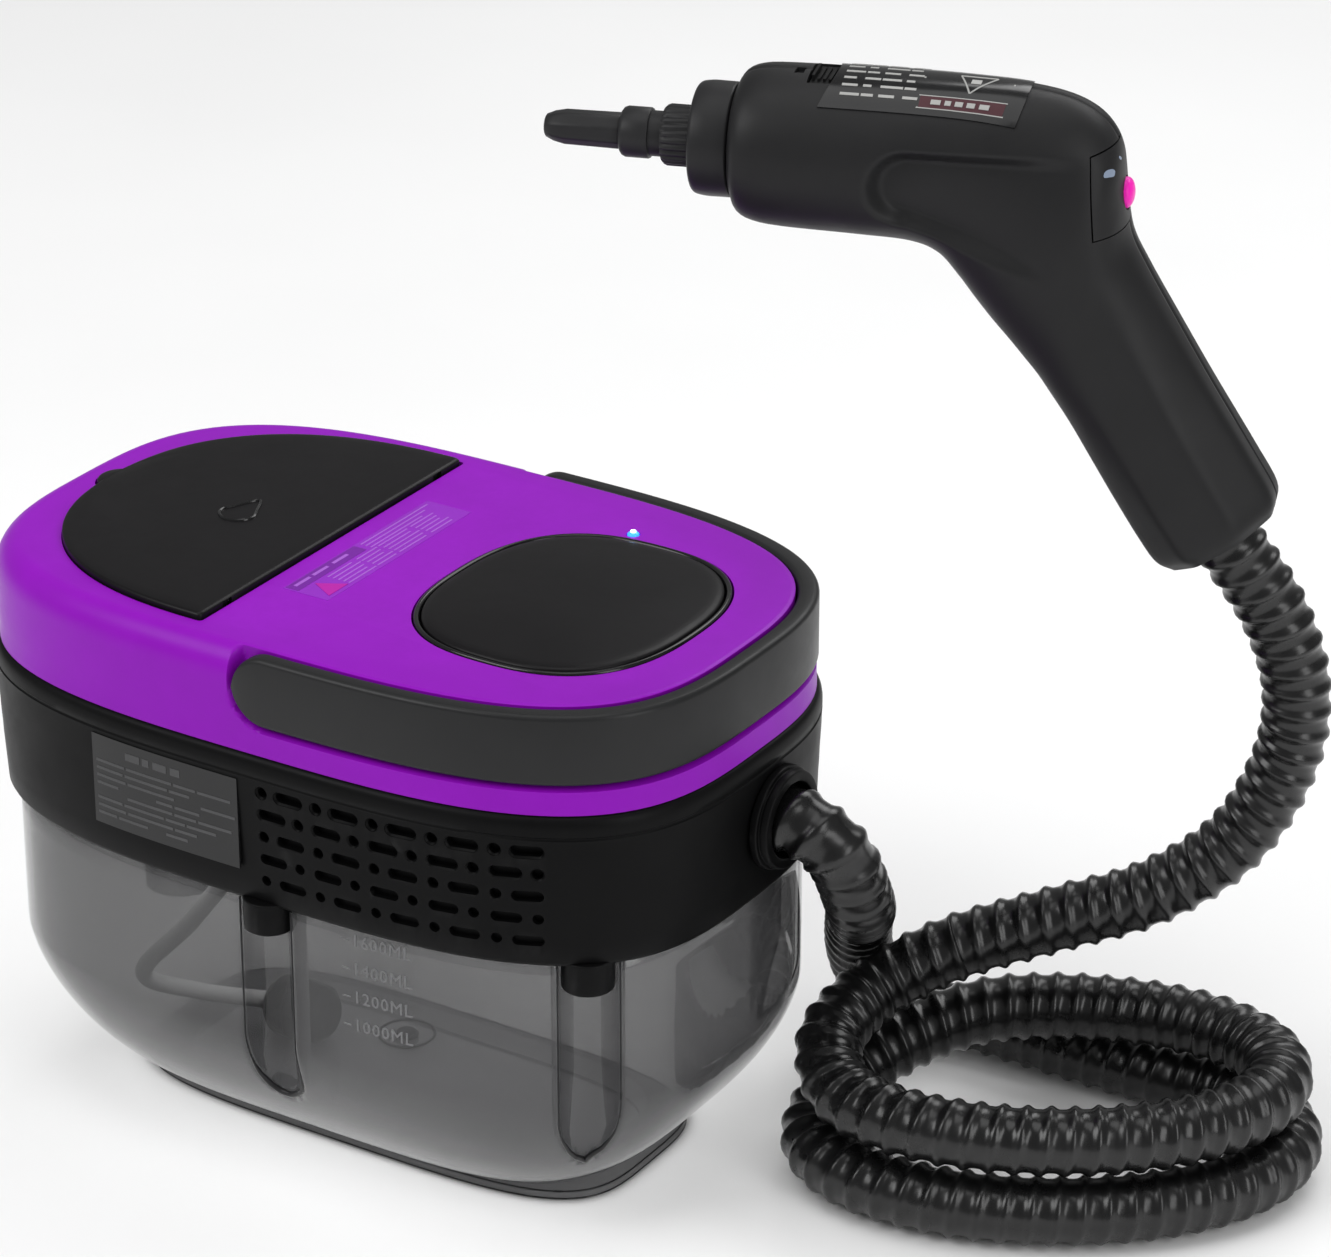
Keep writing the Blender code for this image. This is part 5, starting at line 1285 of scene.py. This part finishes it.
def build_gun_label():
    """The gloss pad wrapped over the barrel, with plain bars and a blank sign."""
    stations = np.linspace(station_at(0.0862), station_at(0.0276), 30)
    vertices, faces = gun_patch(stations, np.linspace(-43.0, 43.0, 23), 0.00055, -0.0004)
    bowed = []
    for x, y, z in vertices:
        lead = smooth_share((x - 0.07) / 0.0162) * (0.0034 * (1.0 - (y / 0.0165) ** 2) + 0.0008)
        bowed.append((x - float(lead), y, z))
    piece("barrel_label", (bowed, faces), GLOSS, "gun", sharp=50.0)

    def bar(x0, x1, a0, a1, height=0.00068):
        stations = np.linspace(station_at(x0), station_at(x1), 4)
        return gun_patch(stations, np.linspace(a0, a1, 3), height, 0.0002)

    lines = []
    for row, angle in enumerate((30.5, 21.5, 13.0, 4.0, -5.0, -14.0, -23.0)):
        start = 0.0802
        for step, length in enumerate((0.0055, 0.0042, 0.0066, 0.0045)):
            shorter = 0.001 * ((row + step) % 3)
            lines.append(bar(start, start - length + shorter, angle - 1.2, angle + 1.2))
            start -= length + 0.0005
    piece("barrel_print", join(lines), MARK_PALE, "gun")
    piece("barrel_header", bar(0.0572, 0.0325, 27.0, 37.0, 0.00062), MARK_WINE, "gun")
    sign = [bar(*ends) for ends in (
        (0.0576, 0.0321, 37.2, 38.0), (0.0576, 0.0321, 26.2, 27.0), (0.0578, 0.0573, -28.0, 38.0),
        (0.0326, 0.0321, -28.0, 38.0), (0.0576, 0.0321, -28.0, -27.2),
    )]
    for start, end in ((0.054, 0.0512), (0.05, 0.0482), (0.047, 0.0446), (0.0434, 0.041), (0.0398, 0.037)):
        sign.append(bar(start, end, 30.2, 34.2, 0.0008))
    corners = ((0.048, -2.0), (0.0376, -2.0), (0.0438, 21.0))
    sign += [sign_edge(first, second) for first, second in zip(corners, corners[1:] + corners[:1])]
    piece("barrel_sign", join([*sign, bar(0.0445, 0.0415, 3.0, 9.0)]), MARK_PALE, "gun")


def build_nozzle():
    """The sleeve at the nose, the pull-out nozzle, its tip, and the cuff round the hose."""

    def along_barrel(name, profile, x, count, material, body, node, section=None):
        shape = turned(profile, (x, 0.0, BARREL_Z), FORWARD, count, loop=True, section=section)
        piece(name, shape, material, body, node)

    profile = ((0.0, 0.015), (0.0004, 0.0166), (0.0082, 0.0167), (0.012, 0.016),
               (0.012, 0.0094), (0.0106, 0.0094), (0.0106, 0.0066), (0.0, 0.0066))
    along_barrel("nose_sleeve", rounded(profile, 0.0022, 6), NOSE_X, 72, GUN_BLACK, "gun", "nose_ring")
    profile = (
        (0.0, 0.0058), (0.0358, 0.0058), (0.036, 0.0082), (0.0368, 0.0088), (0.0376, 0.009),
        (0.044, 0.009), (0.045, 0.0086), (0.0456, 0.008), (0.0456, 0.0066), (0.0494, 0.0066),
        (0.0496, 0.0072), (0.05, 0.0074), (0.0566, 0.0074), (0.0576, 0.007), (0.0582, 0.0062),
        (0.0582, 0.0036), (0.0386, 0.0036), (0.0386, 0.002), (0.0, 0.002),
    )

    def ribs(turn, row):
        return 1.0 - 0.055 * (0.5 + 0.5 * math.cos(turn * 26.0)) ** 2 if 4 <= row <= 6 else 1.0

    along_barrel("nozzle_body", profile, NOZZLE_X, 156, GUN_BLACK, "nozzle", "extension_nozzle", ribs)
    profile = ((0.0, 0.0033), (0.016, 0.0033), (0.016, 0.005), (0.0166, 0.0052), (0.0325, 0.005),
               (0.0358, 0.0043), (0.038, 0.0034), (0.0384, 0.0028), (0.0384, 0.001), (0.0, 0.001))

    def facets(turn, row):
        if 2 <= row <= 5:
            return 0.96 * octagon_reach(lambda middle: math.cos(turn - middle), 40.0)
        return 1.0

    along_barrel("jet_point", profile, TIP_X, 64, GUN_BLACK, "tip", "jet_tip", facets)
    ring = rounded(((0.0, 0.0113), (0.0, 0.0142), (0.006, 0.0142), (0.006, 0.0113)), 0.0008)
    cuff = turned(ring, GRIP_END - GRIP_AXIS * 0.0006, GRIP_AXIS, 48, loop=True)
    piece("hose_cuff", cuff, GUN_BLACK, "gun", "hose_ferrule")


# -------------------------------------------- inside the tank and CAD parts


def build_tank_inside():
    way = ((0.0085, -0.035, 0.129), (-0.016, -0.0345, 0.128), (-0.031, -0.031, 0.116),
           (-0.033, -0.029, 0.095), (-0.06, -0.03, 0.056), (-0.084, -0.027, 0.028),
           (-0.076, -0.012, 0.0165), (-0.053, -0.004, 0.016))
    suction = tube(smooth_path([Vector(point) for point in way], 0.003), 0.0028, 14)
    piece("suction_hose", suction, SILICONE, node="suction_tube", sharp=180.0)
    profile = ((0.0, 0.003), (0.0, 0.0062), (0.003, 0.0092), (0.0085, 0.01), (0.0092, 0.0094),
               (0.01, 0.01), (0.019, 0.0092), (0.022, 0.006), (0.0222, 0.001))
    weight = turned(rounded(profile, 0.0008), (-0.0515, -0.0035, 0.016), Vector((1.0, 0.05, 0.0)), 40)
    piece("filter_weight", weight, BLACK, node="suction_filter", slot="pad_rubber")
    x, y, z = -0.013, 0.0147, 0.007
    rim = [Vector((x + 0.0088 * math.cos(turn), y + 0.0088 * math.sin(turn), z)) for turn in turns(48)]
    boss = turned(((-0.0025, 0.0038), (0.0, 0.0038), (0.0008, 0.003)), (x, y, z), UP, 32)
    piece("floor_boss", join([tube(rim, 0.00045, 8, closed=True), boss]), TANK_EDGE)


def finish_cad_nodes():
    """Node materials for the CAD parts that stay on view or show when something is opened."""
    looks = {
        # The pad's pale grey is painted light under the tank's shadowed bottom.
        PAD_PAINTED_LIGHT: ("anti_slip_pad",),
        SMOKED: ("filler_neck",),
        BLACK: ("inner_deck", "pump"),
        GUN_BLACK: ("nozzle_socket",),
        GLOSS: ("power_switch", "thermostat", "steam_switch"),
        RUBBER: ("pump_bush", "hose_cable_lower", "hose_cable_upper"),
        BOARD: ("control_board",),
        ALUMINIUM: ("boiler",),
        BRASS: ("safety_valve", "steam_outlet_pipe", "gun_steam_pipe"),
        SILICONE: ("tank_seal", "fill_strainer", "lid_seal", "feed_tube", "steam_tube_lower",
                   "steam_tube_upper"),
    }
    look_of = {name: material for material, names in looks.items() for name in names}
    for name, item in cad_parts.items():
        item.data.materials.clear()
        item.data.materials.append(look_of.get(name, STEEL))


# ------------------------------------------------------------------- stage


def point_at(item, place, aim):
    item.location = place
    item.rotation_euler = (Vector(aim) - Vector(place)).to_track_quat("-Z", "Y").to_euler()


def area_light(name, width, height, power):
    light = bpy.data.lights.new(name, "AREA")
    light.shape = "RECTANGLE"
    light.size = width
    light.size_y = height
    light.energy = power
    return add_object(name, light)


def build_stage():
    paper = Nodes("floor_paper")
    tone = paper.span(paper.noise(3.0, 3.0), 0.0, 1.0)
    size = 14.0
    mesh = bpy.data.meshes.new("floor")
    corners = [(x * size, y * size, -0.0002) for x, y in ((-1, -1), (1, -1), (1, 1), (-1, 1))]
    mesh.from_pydata(corners, [], [(0, 1, 2, 3)])
    grey = paper.mix(tone, (0.86, 0.86, 0.86), (0.90, 0.90, 0.90))
    mesh.materials.append(paper.finish({"Base Color": grey, "Roughness": 0.6}))
    add_object("floor", mesh)
    world = bpy.data.worlds.new("studio")
    bpy.context.scene.world = world
    world.use_nodes = True
    nodes, links = world.node_tree.nodes, world.node_tree.links
    # White all round, but dimmer in reflections, so that gloss stays dark.
    nodes["Background"].inputs["Color"].default_value = (1.0, 1.0, 1.0, 1.0)
    dim = nodes.new("ShaderNodeMapRange")
    dim.inputs["To Min"].default_value = 0.56
    dim.inputs["To Max"].default_value = 0.26
    links.new(nodes.new("ShaderNodeLightPath").outputs["Is Glossy Ray"], dim.inputs["Value"])
    links.new(dim.outputs["Result"], nodes["Background"].inputs["Strength"])
    for name, place, width, height, power in (
        ("key", (-0.75, -1.15, 1.35), 1.0, 1.0, 14.0),
        ("side", (1.35, -0.35, 0.75), 0.5, 1.2, 6.0),
        ("back", (0.20, 1.30, 1.30), 1.4, 0.7, 9.0),
        ("top", (0.05, 0.0, 1.75), 1.2, 1.2, 7.0),
    ):
        point_at(area_light(name, width, height, power), place, (0.06, 0.03, 0.15))
    # A weak light inside the tank, standing for what its clear walls let through.
    glow = area_light("tank_fill", 0.19, 0.11, 0.40)
    glow.location = (0.0, 0.0, 0.0985)
    glow.visible_camera = False
    glow.visible_glossy = False


def build_camera():
    camera = bpy.data.cameras.new("camera")
    camera.lens = 135.807
    camera.sensor_width = 36.0
    holder = add_object("camera", camera)
    point_at(holder, (0.78738, -1.10792, 0.80032), (0.0711, 0.0341, 0.1616))
    bpy.context.scene.camera = holder
    bpy.context.scene.view_settings.view_transform = "Standard"


finish_cad_nodes()
build_tank()
build_tank_edges()
build_graduations()
build_band()
build_rating_plate()
build_cover()
build_lid()
build_tray()
build_handle()
build_pod()
build_top_label()
build_hose()
build_outlets()
build_gun_shells()
build_gun_controls()
build_gun_label()
build_nozzle()
build_tank_inside()
build_stage()
build_camera()
